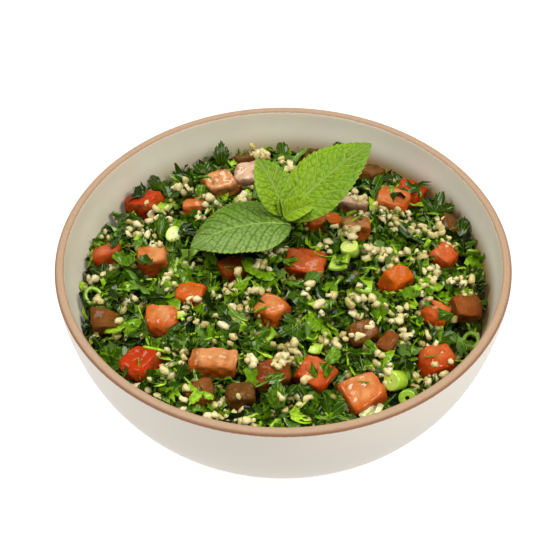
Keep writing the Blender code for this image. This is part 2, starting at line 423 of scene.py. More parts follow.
@dataclass(frozen=True)
class DressedParsley(Finish):
    """Parsley, chopped with a knife and wet with oil and lemon.

    The eye sees blackish to bright yellow-green scraps, the deeper ones painted darker as painted shade,
    greyer undersides, pale veins and small sharp glints.
    """

    name: str = "dressed_parsley"
    ior: float = 1.4
    coat: float = 0.3
    coat_roughness: float = 0.06
    # Mottle and crinkle of the leaf, both drawn coarser than real.
    noises: Noises = ((1.8, 4.0, 0.65), (1.7, 4.0, 0.6))
    reads: tuple[str, ...] = ("tone", "under", "rib", "rib_width")
    greens: Stops = (
        (0.0, "#091000"), (0.25, "#142601"), (0.5, "#2b4b02"), (0.75, "#648c0a"), (1.0, "#a8cc34"),
    )
    underside: str = "#5f8034"
    vein: str = "#86a636"

    def make(self) -> bpy.types.Material:
        """Makes the leaf finish, its tone, underside and veins read from each scrap."""
        made, tree, shader, (mottle, crinkle), (tone, under, rib, rib_width) = self.start()
        mottle = add_node(tree, MATH, TIMES_PLUS, {0: mottle, 1: 0.7, 2: -0.35})
        tone = add_node(tree, MATH, PLUS, {0: tone, 1: mottle})
        green = add_node(tree, RAMP, {"color_ramp": self.greens}, {"Fac": tone})
        nearest = add_node(tree, MATH, {"operation": "ROUND"}, {0: rib})
        apart = add_node(tree, MATH, {"operation": "SUBTRACT"}, {0: rib, 1: nearest})
        apart = add_node(tree, MATH, {"operation": "ABSOLUTE"}, {0: apart})
        apart = add_node(tree, MATH, {"operation": "DIVIDE"}, {0: apart, 1: rib_width})
        vein = add_node(tree, RANGE, {"interpolation_type": "SMOOTHSTEP"},
                        {"Value": apart, "From Min": 1.3, "From Max": 0.4})
        faint = add_node(tree, MATH, TIMES, {0: vein, 1: 0.3})
        for share, colour in ((under, self.underside), (faint, self.vein)):
            green = add_node(tree, MIX, COVER, {0: share, 6: green, 7: linear(colour)}, 2)
        grain = add_node(tree, MATH, TIMES_PLUS, {0: vein, 1: -0.35, 2: crinkle})
        bump = add_node(tree, BUMP, inputs={"Strength": 0.85, "Distance": 0.55 * MM, "Height": grain})
        feed(tree, shader, {"Base Color": green, "Normal": bump, "Specular IOR Level": 0.2,
                            "Specular Tint": linear("#c8e070")})
        return made


@dataclass(frozen=True)
class ShadedParsley(Finish):
    """Parsley packed below the surface and out of the light, painted nearly black green as painted shade, and
    crumbly.
    """

    name: str = "shaded_parsley"
    roughness: float = 0.5
    # Mottle and crumbs, as wide as finely chopped herbs.
    noises: Noises = ((3.0, 5.0, 0.7), (2.2, 5.0, 0.7))
    painted_shades: Stops = ((0.3, "#090b02"), (0.5, "#1c1a06"), (0.62, "#16260a"), (0.8, "#3a3814"))

    def make(self) -> bpy.types.Material:
        """Makes the mass between the scraps, painted nearly black as painted shade."""
        made, tree, shader, (mottle, crumbs), _ = self.start()
        feed(tree, shader, {
            "Base Color": add_node(tree, RAMP, {"color_ramp": self.painted_shades}, {"Fac": mottle}),
            "Normal": add_node(tree, BUMP, inputs={"Distance": 1.2 * MM, "Height": crumbs}),
        })
        return made


@dataclass(frozen=True)
class TomatoFlesh(Finish):
    """Ripe tomato, cut into dice with a sharp knife.

    The eye sees wet translucent flesh, orange-red at the sides, and a smooth deep red where a side is skin.
    The upward faces are painted pale pink and a lighter red as painted light, and the dark brown dice are
    partly dressing and partly painted shade.
    """

    name: str = "tomato_flesh"
    ior: float = 1.33
    coat: float = 0.4
    coat_roughness: float = 0.05
    # Fibres, paler blotches and the fine grain of the pith.
    noises: Noises = ((2.6, 4.0, 0.6), (5.0, 3.0, 0.5), (0.8, 4.0, 0.6))
    reads: tuple[str, ...] = ("ripe", "pale", "core", "skin")
    # The brown ends of the ramp are partly dressing and partly painted shade, mostly for the dark and brown
    # dice.
    ripeness: Stops = (
        (0.0, "#4c3008"), (0.13, "#583406"), (0.3, "#aa4e03"), (0.5, "#a63802"), (0.72, "#862a02"),
        (0.88, "#663208"), (1.0, "#5a360c"),
    )
    centre: str = "#bf8350"
    white_core: str = "#c2a184"
    peel: str = "#9c2803"

    def make(self) -> bpy.types.Material:
        """Makes the flesh, its ripeness, paleness and skin read from each die, with painted light on the
        upward faces in the first two.
        """
        made, tree, shader, (fibre, blotch, pith), (ripe, pale, core, skin) = self.start()
        uneven = add_node(tree, MATH, TIMES_PLUS, {0: fibre, 1: 0.5, 2: -0.25})
        ripe = add_node(tree, MATH, PLUS, {0: ripe, 1: uneven})
        flesh = add_node(tree, RAMP, {"color_ramp": self.ripeness}, {"Fac": ripe})
        blotch = add_node(tree, MATH, TIMES_PLUS, {0: blotch, 1: 3.4, 2: -0.8})
        blotch = add_node(tree, MATH, TIMES, {0: pale, 1: blotch})
        centre = add_node(tree, MIX, COVER, {0: core, 6: linear(self.centre), 7: linear(self.white_core)}, 2)
        for share, colour in ((blotch, centre), (skin, linear(self.peel))):
            flesh = add_node(tree, MIX, COVER, {0: share, 6: flesh, 7: colour}, 2)
        grain = add_node(tree, MATH, TIMES_PLUS, {0: pith, 1: 0.9, 2: fibre})
        feed(tree, shader, {
            "Base Color": flesh,
            "Coat Weight": add_node(tree, MATH, TIMES_PLUS, {0: pale, 1: 0.5, 2: 0.12}),
            "Specular IOR Level": 0.1,
            "Specular Tint": linear("#e0a070"),
            "Subsurface Weight": 0.4,
            "Subsurface Radius": (1.0, 0.25, 0.05),
            "Subsurface Scale": 2.4 * MM,
            "Normal": add_node(tree, BUMP, inputs={"Strength": 0.85, "Distance": 0.42 * MM, "Height": grain}),
        })
        return made


@dataclass(frozen=True)
class ToneFinish(Finish):
    """A translucent finish whose colour follows a tone that each point carries."""

    # Spots and fine grain, both drawn coarser than real.
    noises: Noises = ((1.3, 3.0, 0.55), (0.7, 3.0, 0.55))
    reads: tuple[str, ...] = ("tone",)
    tones: Stops = ()
    uneven: float = 0.5
    see_through: float = 0.2
    see_colour: tuple[float, float, float] = (1.0, 0.8, 0.45)
    see_depth: float = 0.8 * MM
    bump: tuple[float, float] = (0.15 * MM, 0.8)

    def make(self) -> bpy.types.Material:
        """Makes the finish, its tone read from each point."""
        made, tree, shader, (spots, grain), (tone,) = self.start()
        spots = add_node(tree, MATH, TIMES_PLUS, {0: spots, 1: self.uneven, 2: -self.uneven / 2})
        tone = add_node(tree, MATH, PLUS, {0: tone, 1: spots})
        depth, strength = self.bump
        feed(tree, shader, {
            "Base Color": add_node(tree, RAMP, {"color_ramp": self.tones}, {"Fac": tone}),
            "Subsurface Weight": self.see_through,
            "Subsurface Radius": self.see_colour,
            "Subsurface Scale": self.see_depth,
            "Normal": add_node(tree, BUMP, inputs={"Strength": strength, "Distance": depth, "Height": grain}),
        })
        return made


@dataclass(frozen=True)
class SoakedBulgur(ToneFinish):
    """Bulgur, cracked wheat soaked until tender: cream, slightly see-through, with a dull wet sheen."""

    name: str = "soaked_bulgur"
    roughness: float = 0.42
    ior: float = 1.4
    coat: float = 0.15
    coat_roughness: float = 0.2
    # The darkest, olive tones are painted shade for the grains between the herbs.
    tones: Stops = (
        (0.0, "#5c5420"), (0.2, "#8a7e3e"), (0.4, "#b8a968"), (0.6, "#c6b880"), (1.0, "#d4c9a2"),
    )


@dataclass(frozen=True)
class SpringOnionFlesh(ToneFinish):
    """Spring onion, sliced across: a glossy green outside, and rings that pale to white in the middle."""

    name: str = "spring_onion"
    roughness: float = 0.3
    coat: float = 0.3
    noises: Noises = ((1.5, 3.0, 0.55), (0.8, 3.0, 0.55))
    tones: Stops = (
        (0.0, "#e2e4b8"), (0.3, "#bccb5c"), (0.55, "#8cb022"), (0.8, "#527c0c"), (1.0, "#2c4a06"),
    )
    uneven: float = 0.16
    see_through: float = 0.15
    see_colour: tuple[float, float, float] = (0.6, 1.0, 0.3)
    see_depth: float = 1.0 * MM
    bump: tuple[float, float] = (0.08 * MM, 0.7)


@dataclass(frozen=True)
class MintBlade(Finish):
    """Fresh spearmint: soft satin leaf, puffed between sunken veins, with a fine pale edge to its teeth.

    Each ramp of colours runs from a young leaf to an old one. The grooves, and the old leaf's veins, are
    painted darker than the puffs as painted shade, and the age also shifts the lightness from one half of a
    blade to the other as painted light.
    """

    name: str = "mint_leaf"
    roughness: float = 0.5
    ior: float = 1.36
    # The slow change of green over a blade, and its down, drawn coarser than real.
    noises: Noises = ((5.0, 3.0, 0.55), (0.7, 3.0, 0.55))
    reads: tuple[str, ...] = ("age", "puff", "vein", "rib", "edge")
    puffs: Stops = ((0.0, "#82a10c"), (0.35, "#64860a"), (0.65, "#587818"), (1.0, "#788f4c"))
    # Grooves and old veins are painted darker than the puffs: painted shade in the sunken veins.
    groove_shades: Stops = ((0.0, "#4c6802"), (0.4, "#304a02"), (0.7, "#304a04"), (1.0, "#46641a"))
    veins: Stops = ((0.0, "#98b23a"), (0.4, "#94b044"), (0.7, "#3c5808"), (1.0, "#4c6a1c"))
    midrib: str = "#9fb556"
    margin: str = "#85a238"

    def make(self) -> bpy.types.Material:
        """Makes the blade, with its puffs, veins, age and edge read from each point."""
        made, tree, shader, (uneven, down), (age, puff, vein, rib, edge) = self.start()
        uneven = add_node(tree, MATH, TIMES_PLUS, {0: uneven, 1: 0.3, 2: -0.15})
        age = add_node(tree, MATH, PLUS, {0: age, 1: uneven})
        puffs, leaf, veins = (
            add_node(tree, RAMP, {"color_ramp": stops}, {"Fac": age})
            for stops in (self.puffs, self.groove_shades, self.veins)
        )
        vein = add_node(tree, MATH, TIMES, {0: vein, 1: 0.75})
        for share, colour in (
            (puff, puffs), (vein, veins), (rib, linear(self.midrib)), (edge, linear(self.margin)),
        ):
            leaf = add_node(tree, MIX, COVER, {0: share, 6: leaf, 7: colour}, 2)
        feed(tree, shader, {
            "Base Color": leaf,
            "Specular IOR Level": 0.3,
            "Subsurface Weight": 0.2,
            "Subsurface Radius": (0.5, 1.0, 0.2),
            "Subsurface Scale": 1.0 * MM,
            "Normal": add_node(tree, BUMP, inputs={"Strength": 0.7, "Distance": 0.12 * MM, "Height": down}),
        })
        return made


# ---------------------------------------------------------------- the bowl


@dataclass
class Bowl:
    """The turned stoneware bowl, with its rounded lip and foot ring."""

    radius: float
    height: float
    lip_thickness: float = 4.2 * MM
    lip_outer_round: float = 1.8 * MM
    lip_inner_round: float = 1.4 * MM
    foot_height: float = 2.5 * MM
    foot_radius: float = 56 * MM
    foot_width: float = 6 * MM
    inner_depth: float = 61 * MM
    outer_reach: float = 71.2 * MM
    inner_reach: float = 63 * MM
    depth_power: float = 1.94
    radius_power: float = 4.89
    wall_steps: int = 40
    lip_steps: int = 9
    floor_ring: float = 20 * MM
    segments: int = 224

    def wall(self, depth: float, radius: float, reach: float) -> float:
        """Radius of a wall of superelliptic section.

        Args:
            depth: distance below the lip.
            radius: the wall's radius at the lip.
            reach: the depth at which the curve closes.

        Returns:
            The wall's radius at that depth.
        """
        return radius * (1 - min(max(depth, 0.0) / reach, 1) ** self.depth_power) ** (1 / self.radius_power)

    def inner_radius(self, depth: float) -> float:
        """Radius of the inside at a depth below the lip."""
        return self.wall(depth, self.radius - self.lip_thickness, self.inner_reach)

    def inner_radii(self, heights: np.ndarray) -> np.ndarray:
        """Radius of the inside at many heights above the table."""
        share = np.clip((self.height - heights) / self.inner_reach, 0, 0.999)
        return (self.radius - self.lip_thickness) * (1 - share ** self.depth_power) ** (1 / self.radius_power)

    def depths(self, first: float, last: float) -> list[float]:
        """Depths down a wall, closer together towards its base."""
        steps = self.wall_steps
        return [first + (last - first) * math.sin(math.pi / 2 * i / steps) for i in range(steps + 1)]

    def lip_arc(self, centre: float, size: float, first: float, last: float) -> list[tuple[float, float]]:
        """A rounded shoulder of the lip.

        Args:
            centre: radius at which the shoulder's centre lies.
            size: the shoulder's own radius.
            first: the angle it starts at, in degrees.
            last: the angle it ends at.

        Returns:
            Points of radius and height.
        """
        steps = self.lip_steps
        angles = [math.radians(first + (last - first) * i / steps) for i in range(steps + 1)]
        level = self.height - size
        return [(centre + size * math.cos(a), level + size * math.sin(a)) for a in angles]

    def profile(self) -> tuple[np.ndarray, np.ndarray]:
        """Half the section, from the middle of the inside to the middle of the underside.

        Returns:
            Points of radius and height, and how far in mm each lies along the surface from the top of the
            lip, less than nothing inside the bowl.
        """
        inside = [(self.inner_radius(d), self.height - d)
                  for d in self.depths(self.lip_inner_round, self.inner_depth)]
        outside = [(self.wall(d, self.radius, self.outer_reach), self.height - d)
                   for d in self.depths(self.lip_outer_round, self.height - self.foot_height)]
        outer_foot, inner_foot = self.foot_radius, self.foot_radius - self.foot_width
        foot = [(outer_foot, self.foot_height), (outer_foot - 0.4 * MM, 0.5 * MM), (outer_foot - 1 * MM, 0.0),
                (inner_foot, 0.0), (inner_foot - 0.7 * MM, 0.5 * MM), (inner_foot - 1 * MM, self.foot_height)]
        floor = [(r, self.height - self.inner_depth) for r in (0.0, self.floor_ring)]
        points = floor + inside[::-1]
        inner_centre = self.radius - self.lip_thickness + self.lip_inner_round
        points += self.lip_arc(inner_centre, self.lip_inner_round, 180, 90)[1:]
        top = len(points)
        points += self.lip_arc(self.radius - self.lip_outer_round, self.lip_outer_round, 90, 0)
        points += outside[1:] + foot + [(self.floor_ring, self.foot_height), (0.0, self.foot_height)]
        section = np.array(points)
        run = np.concatenate([[0], np.cumsum(np.linalg.norm(np.diff(section, axis=0), axis=1))])
        return section, (run - (run[top - 1] + run[top]) / 2) / MM

    def build(self, finish: bpy.types.Material) -> bpy.types.Object:
        """Turns the section into the bowl.

        Args:
            finish: the glaze.

        Returns:
            The bowl, which stands for its CAD solid.
        """
        section, lip = self.profile()
        turns = np.arange(self.segments) * (2 * math.pi / self.segments)
        ring = section[1:-1]
        points = np.stack([
            ring[:, 0, None] * np.cos(turns), ring[:, 0, None] * np.sin(turns),
            np.repeat(ring[:, 1, None], self.segments, 1),
        ], -1).reshape(-1, 3)
        count = len(points)
        points = np.vstack([points, [0, 0, section[0, 1]], [0, 0, section[-1, 1]]])
        n, last = self.segments, (len(ring) - 1) * self.segments
        hubs = [face for j in range(n)
                for face in ((count, (j + 1) % n, j), (count + 1, last + j, last + (j + 1) % n))]
        faces = np.vstack([ring_faces(len(ring), n), hubs])[:, ::-1]
        values = np.concatenate([np.repeat(lip[1:-1], n), [lip[0], lip[-1]]])
        bowl = make_piece("stoneware_bowl", points, faces, finish, {"lip": values})
        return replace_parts(bowl, "bowl")


# ---------------------------------------------------------------- the heap


@dataclass
class Heap:
    """The shape of the salad's surface and the mass below it, dark with painted shade."""

    bowl: Bowl
    edge_depth: float = 25 * MM
    rise: float = 16 * MM
    power: float = 0.8
    lump_height: float = 4.2 * MM
    lump_size: float = 13 * MM
    core_sink: float = 6.5 * MM
    reach: float = 91.5 * MM
    core_rings: int = 46
    core_turns: int = 150
    core_lump: float = 1.1 * MM
    core_gap: float = 0.6 * MM
    core_bevel: float = 14 * MM

    def dome(self, distance: np.ndarray) -> np.ndarray:
        """Height of the smooth heap at distances from its middle."""
        share = np.minimum(distance / self.bowl.inner_radius(self.edge_depth), 1)
        return self.bowl.height - self.edge_depth + self.rise * (1 - share * share) ** self.power

    def surface(self, x: np.ndarray, y: np.ndarray) -> np.ndarray:
        """Height of the lumpy heap over points of the plane."""
        lumps = [
            noise.noise(Vector((a, b, 3.7))) + 0.6 * noise.noise(Vector((2.1 * a, 2.1 * b, 8.1)))
            for a, b in zip(np.ravel(x) / self.lump_size, np.ravel(y) / self.lump_size)
        ]
        return self.dome(np.hypot(x, y)) + self.lump_height * np.reshape(lumps, np.shape(x))

    def normal(self, x: np.ndarray, y: np.ndarray) -> np.ndarray:
        """Direction out of the heap over points of the plane, one unit row each."""
        step = 2.5 * MM
        rise_x = (self.surface(x + step, y) - self.surface(x - step, y)) / (2 * step)
        rise_y = (self.surface(x, y + step) - self.surface(x, y - step)) / (2 * step)
        out = np.stack([-rise_x, -rise_y, np.ones_like(x)], -1)
        return out / np.linalg.norm(out, axis=-1, keepdims=True)

    def press(self, points: np.ndarray, gap: float = 0.25 * MM) -> np.ndarray:
        """Keeps points inside the bowl's wall, as food pressed against it is."""
        distance = np.hypot(points[:, 0], points[:, 1])
        limit = self.bowl.inner_radii(np.minimum(points[:, 2], self.bowl.height)) - gap
        limit = np.where(points[:, 2] > self.bowl.height - 1 * MM, np.inf, limit)
        shrink = np.minimum(1, limit / np.maximum(distance, 1e-6))
        points = points.copy()
        points[:, :2] *= shrink[:, None]
        return points

    def build_core(self, finish: bpy.types.Material) -> bpy.types.Object:
        """Makes the packed mass that the loose food lies on, dark with painted shade.

        Args:
            finish: the shaded parsley.

        Returns:
            The core, which stands for the heap's CAD solid.
        """
        rings, turns = self.core_rings, self.core_turns
        share = np.linspace(0.02, 1, rings)[:, None]
        angle = np.arange(turns) * (2 * math.pi / turns)
        x, y = share * self.reach * np.cos(angle), share * self.reach * np.sin(angle)
        flat = np.stack([x, y, np.zeros_like(x)], -1).reshape(-1, 3)
        z = self.surface(x, y).ravel() - self.core_sink + self.core_lump * wavy(flat, 9 * MM, 5)
        top = np.column_stack([flat[:, :2], z])
        floor = self.bowl.height - self.bowl.inner_depth + self.core_gap
        low_edge = top[-turns:] * [1, 1, 0] + [0, 0, floor + self.core_bevel]
        base = top[-turns:] * [0.7, 0.7, 0] + [0, 0, floor]
        points = np.vstack([top, low_edge, base, [[0, 0, top[:turns, 2].mean()], [0, 0, floor]]])
        limit = self.bowl.inner_radii(points[:, 2]) - self.core_gap
        distance = np.maximum(np.hypot(points[:, 0], points[:, 1]), 1e-6)
        points[:, :2] *= np.minimum(1, limit / distance)[:, None]
        hub, under, last = len(points) - 2, len(points) - 1, (rings + 1) * turns
        hubs = [face for j in range(turns)
                for face in ((hub, j, (j + 1) % turns), (under, last + (j + 1) % turns, last + j))]
        faces = np.vstack([ring_faces(rings + 2, turns)[:, ::-1], hubs])
        core = make_piece("packed_parsley", points, faces, finish)
        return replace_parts(core, "salad")


# ---------------------------------------------------------------- tomato


class Cut(Enum):
    """How a die of tomato looks: how ripe, how pale its flesh is painted, mostly on top as painted light, and
    how much skin it shows.
    """

    SKIN = (0.62, 0.3, 0.9)
    RED = (0.62, 0.42, 0.25)
    ORANGE = (0.42, 0.75, 0.0)
    CLEAR = (0.38, 0.15, 0.0)
    PINK = (0.38, 1.2, 0.0)
    PALE = (0.22, 1.6, 0.0)
    CORE = (0.2, 1.5, 0.0)
    # The dark and brown dice stand partly for dressing on them and partly for painted shade.
    DARK = (1.0, 0.12, 0.0)
    BROWN = (0.0, 0.12, 0.0)


@dataclass(frozen=True)
class Die:
    """One die: where it lies in mm, its size in mm, its turn and lean in degrees and its cut."""

    x: float
    y: float
    length: float
    width: float
    height: float
    turn: float
    cut: Cut
    lean: float = 0.0
    lean_way: float = 0.0
    lift: float = 0.0


@dataclass
class TomatoDice:
    """All the dice of tomato that stand out of the heap."""

    heap: Heap
    steps: int = 15
    scale: float = 1.02
    sink: float = 0.19
    lift: float = 2.2 * MM
    steepest: float = 0.45
    corner_spread: float = 0.12
    corner_pull: float = 0.13
    bulge: float = 0.34
    dice: tuple[Die, ...] = (
        Die(-66, 49, 17, 13, 12, -18, Cut.SKIN),
        Die(-80, 14, 13, 12, 13, 8, Cut.RED),
        Die(-30, 56, 16, 16, 14, 30, Cut.PALE, 14, 0, 1.2),
        Die(-17, 62, 15, 13, 11, -10, Cut.CORE, 12, 0, 1.5),
        Die(-41, 39, 12, 7, 9, 5, Cut.ORANGE),
        Die(-58, 6, 14, 12, 14, 14, Cut.PINK, 10, 0),
        Die(-22, -5, 13, 10, 9, 25, Cut.DARK),
        Die(-40, -18, 13, 12, 8, -12, Cut.CLEAR),
        Die(-5, -29, 14, 12, 13, -32, Cut.ORANGE),
        Die(10, -3, 19, 15, 9, -14, Cut.RED),
        Die(52, 45, 16, 14, 12, -16, Cut.ORANGE, 8, 0, 0.8),
        Die(62, 57, 14, 12, 13, -22, Cut.SKIN),
        Die(19, 25, 14, 9, 8, 12, Cut.CLEAR),
        Die(33, 23, 15, 10, 9, 6, Cut.ORANGE),
        Die(50, -8, 13, 12, 13, 36, Cut.CLEAR),
        Die(73, 11, 11, 10, 9, 50, Cut.RED),
        Die(66, -25, 12, 10, 11, -30, Cut.RED),
        Die(80, -19, 13, 11, 9, 10, Cut.DARK),
        Die(34, -39, 12, 11, 9, 28, Cut.DARK),
        Die(44, -43, 10, 8, 6, 60, Cut.DARK),
        Die(13, -59, 16, 14, 12, -34, Cut.RED),
        Die(-6, -60, 15, 12, 8, 20, Cut.DARK),
        Die(33, -66, 17, 15, 11, 34, Cut.PINK),
        Die(65, -48, 15, 13, 11, 24, Cut.RED),
        Die(-77, -26, 14, 11, 9, -12, Cut.DARK),
        Die(-51, -30, 15, 11, 10, -10, Cut.PINK),
        Die(-59, -50, 15, 14, 12, -28, Cut.SKIN),
        Die(-28, -54, 18, 11, 10, -6, Cut.PINK),
        Die(-34, -67, 13, 10, 7, 22, Cut.DARK),
        Die(-17, -68, 12, 9, 8, 2, Cut.BROWN),
        Die(-17, 80, 13, 10, 9, 12, Cut.BROWN),
        Die(14, 82, 12, 11, 9, -15, Cut.BROWN),
        Die(43, 70, 12, 12, 9, 40, Cut.BROWN),
        Die(80, 34, 12, 11, 10, 15, Cut.BROWN),
        Die(33, 40, 14, 10, 9, -20, Cut.CORE, 0, 0, 0.8),
    )

    def block(self) -> tuple[np.ndarray, np.ndarray]:
        """A cube of side 2 with a grid on each side and its corners shared.

        Returns:
            Its points and triangles.
        """
        n = self.steps
        ticks = np.linspace(-1, 1, n)
        numbers, points, faces = {}, [], []
        for axis in range(3):
            for side in (-1.0, 1.0):
                index = np.zeros((n, n), int)
                for i in range(n):
                    for j in range(n):
                        place = np.zeros(3)
                        place[axis], place[(axis + 1) % 3], place[(axis + 2) % 3] = side, ticks[i], ticks[j]
                        key = tuple(np.round(place, 4))
                        if key not in numbers:
                            numbers[key] = len(points)
                            points.append(place)
                        index[i, j] = numbers[key]
                for i in range(n - 1):
                    for j in range(n - 1):
                        a, b, c, d = index[i, j], index[i + 1, j], index[i + 1, j + 1], index[i, j + 1]
                        faces += [(a, b, c), (a, c, d)] if side > 0 else [(a, c, b), (a, d, c)]
        return np.array(points), np.array(faces, np.int32)

    def shape(self, cube: np.ndarray, die: Die, chance: np.random.Generator) -> np.ndarray:
        """Turns the cube into one unevenly cut die, about its own middle.

        Args:
            cube: the cube's points.
            die: the die.
            chance: the source of its unevenness.

        Returns:
            The die's points in metres, not yet turned.
        """
        size = np.sort(np.abs(cube), axis=1)
        outward = cube / np.linalg.norm(cube, axis=1, keepdims=True)
        round_share = smooth_step(0.66, 1.0, size[:, 1]) * 0.3 + smooth_step(0.66, 1.0, size[:, 0]) * 0.12
        points = cube * (1 - round_share[:, None]) + outward * 1.28 * round_share[:, None]
        warp = np.zeros_like(points)
        for corner in np.ndindex(2, 2, 2):
            side = np.array(corner) * 2 - 1
            weight = np.prod((1 + side * cube) / 2, axis=1)
            shift = np.clip(chance.normal(0, self.corner_spread, 3), -0.17, 0.17)
            pull = min(abs(chance.normal(0, self.corner_pull)), 0.18)
            warp += weight[:, None] * (shift - side * pull)
        axis, way = int(chance.integers(2)), 1 if chance.random() < 0.5 else -1
        swell = np.prod(1 - np.delete(cube, axis, 1) ** 2, axis=1)
        swell = swell * smooth_step(0.0, 1.0, way * cube[:, axis])
        warp[:, axis] += way * chance.uniform(0.0, self.bulge) * swell
        points = (points + warp) * np.array([die.length, die.width, die.height]) / 2 * MM * self.scale
        seed = int(chance.integers(1 << 30))
        dent = -0.25 * MM * (1 - np.minimum(size[:, 1], 1)) ** 2
        for number, (depth, wide) in enumerate(((0.35, 6.0), (0.13, 2.4), (0.05, 1.2))):
            dent += depth * MM * wavy(points, wide * MM, seed + number)
        return points + outward * dent[:, None]

    def place(self, die: Die) -> Matrix:
        """Where a die lies on the slope of the heap, as a matrix."""
        x, y = die.x * MM, die.y * MM
        distance = max(math.hypot(x, y), MM)
        before, level, after = self.heap.dome(np.array([distance - MM, distance, distance + MM]))
        slope = max((after - before) / (2 * MM), -self.steepest)
        outward = Vector((-slope * x / distance, -slope * y / distance, 1.0))
        tilt = Vector((0, 0, 1)).rotation_difference(outward).to_matrix().to_4x4()
        level += self.lift - self.sink * die.height * MM + die.lift * MM
        way = math.radians(die.lean_way)
        lean = Matrix.Rotation(math.radians(die.lean), 4, Vector((math.cos(way), math.sin(way), 0)))
        turn = Matrix.Rotation(math.radians(die.turn), 4, "Z")
        return Matrix.Translation((x, y, level)) @ lean @ tilt @ turn

    def build(self, finish: bpy.types.Material) -> bpy.types.Object:
        """Makes all the dice as one piece.

        Args:
            finish: the tomato flesh.

        Returns:
            The piece.
        """
        cube, cube_faces = self.block()
        rim = 1 - 0.4 * smooth_step(0.72, 0.95, np.sort(np.abs(cube), axis=1)[:, 1])
        points, values = [], {"ripe": [], "pale": [], "skin": [], "core": []}
        for number, die in enumerate(self.dice):
            chance = np.random.default_rng(100 + number)
            local = self.shape(cube, die, chance)
            matrix = np.array(self.place(die))
            world = local @ matrix[:3, :3].T + matrix[:3, 3]
            points.append(world)
            facing = (cube / np.linalg.norm(cube, axis=1, keepdims=True)) @ matrix[:3, :3].T
            ripe, pale, skin = die.cut.value
            # Upward faces are painted paler and a lighter red, and downward ones a darker red: painted light
            # and shade.
            up = smooth_step(0.35, 0.95, facing[:, 2])
            patch = 0.5 + 0.5 * wavy(world, 9 * MM, 300 + number)
            values["ripe"].append(np.clip(ripe + chance.normal(0, 0.05) - 0.12 * facing[:, 2], 0, 1))
            pale = pale * (0.12 + 0.72 * up) * rim * (0.6 + 0.55 * patch)
            values["pale"].append(np.clip(pale, 0, 0.95))
            values["core"].append(np.full(len(cube), float(die.cut is Cut.CORE)))
            side = cube[:, int(chance.integers(2))] * (1 if chance.random() < 0.5 else -1)
            side = np.maximum(side, cube[:, 2] * (skin > 0.5))
            values["skin"].append(skin * smooth_step(0.9, 1.0, side))
        merged = self.heap.press(np.vstack(points), 0.3 * MM)
        faces = repeat_faces(cube_faces, len(self.dice), len(cube))
        values = {key: np.concatenate(value) for key, value in values.items()}
        piece = make_piece("tomato_dice", merged, faces, finish, values)
        return piece


# ---------------------------------------------------------------- parsley


class Form(Enum):
    """The outline of a chopped scrap."""

    STRIP = "strip"
    FAN = "fan"


@dataclass(frozen=True)
class ScrapKind:
    """One kind of chopped parsley.

    How many, in how many rows and columns of faces, their sizes in mm, how they bend and fold, how deep their
    teeth are, how far in mm they lie above the heap, how they tilt in degrees, their tone and their seed.
    """

    name: str
    form: Form
    count: int
    rows: int
    columns: int
    length: tuple[float, float]
    width: tuple[float, float]
    bend: float
    pleat: float
    teeth: float
    depth: tuple[float, float]
    tilt: float
    tone: float
    seed: int


@dataclass
class Cover:
    """What lies on the heap already, so that loose food lies beside it and only a little of it on top."""

    heap: Heap
    pieces: list[bpy.types.Object]
    on_top: float = 0.07
    ways: int = 6
    shallow: float = -1.5 * MM
    deep: float = -4.5 * MM

    def __post_init__(self) -> None:
        """Gathers the pieces in a tree to cast rays on."""
        self.tree = ray_tree(self.pieces, [], [])

    def tops(self, x: np.ndarray, y: np.ndarray) -> np.ndarray:
        """Height of what covers each point of the plane, or nan where only the heap does."""
        down = Vector((0, 0, -1))
        hits = [self.tree.ray_cast(Vector((a, b, RAY_START)), down)[0] for a, b in zip(x, y)]
        return np.array([math.nan if hit is None else hit.z for hit in hits])

    def sort(self, x: np.ndarray, y: np.ndarray, level: np.ndarray, size: float,
             chance: np.random.Generator) -> tuple[np.ndarray, np.ndarray]:
        """Decides which scraps stay, and lifts the few that lie on top of something.

        Args:
            x: where each lies.
            y: where each lies.
            level: how far above the heap's surface, in metres.
            size: how far a scrap reaches from its middle, in metres.
            chance: the source of the few that stay on top.

        Returns:
            True for each scrap that stays, and the height of what carries it, or nan for the heap.
        """
        top = self.tops(x, y)
        near = np.isfinite(top)
        for way in np.arange(self.ways) * 2 * math.pi / self.ways:
            beside = self.tops(x + size * math.cos(way), y + size * math.sin(way))
            near |= np.isfinite(beside) & (level > self.shallow)
        lucky = chance.random(len(x)) < self.on_top
        over = np.isfinite(top) & lucky & (level > self.shallow)
        return ~near | over | (level < self.deep), np.where(over, top, math.nan)


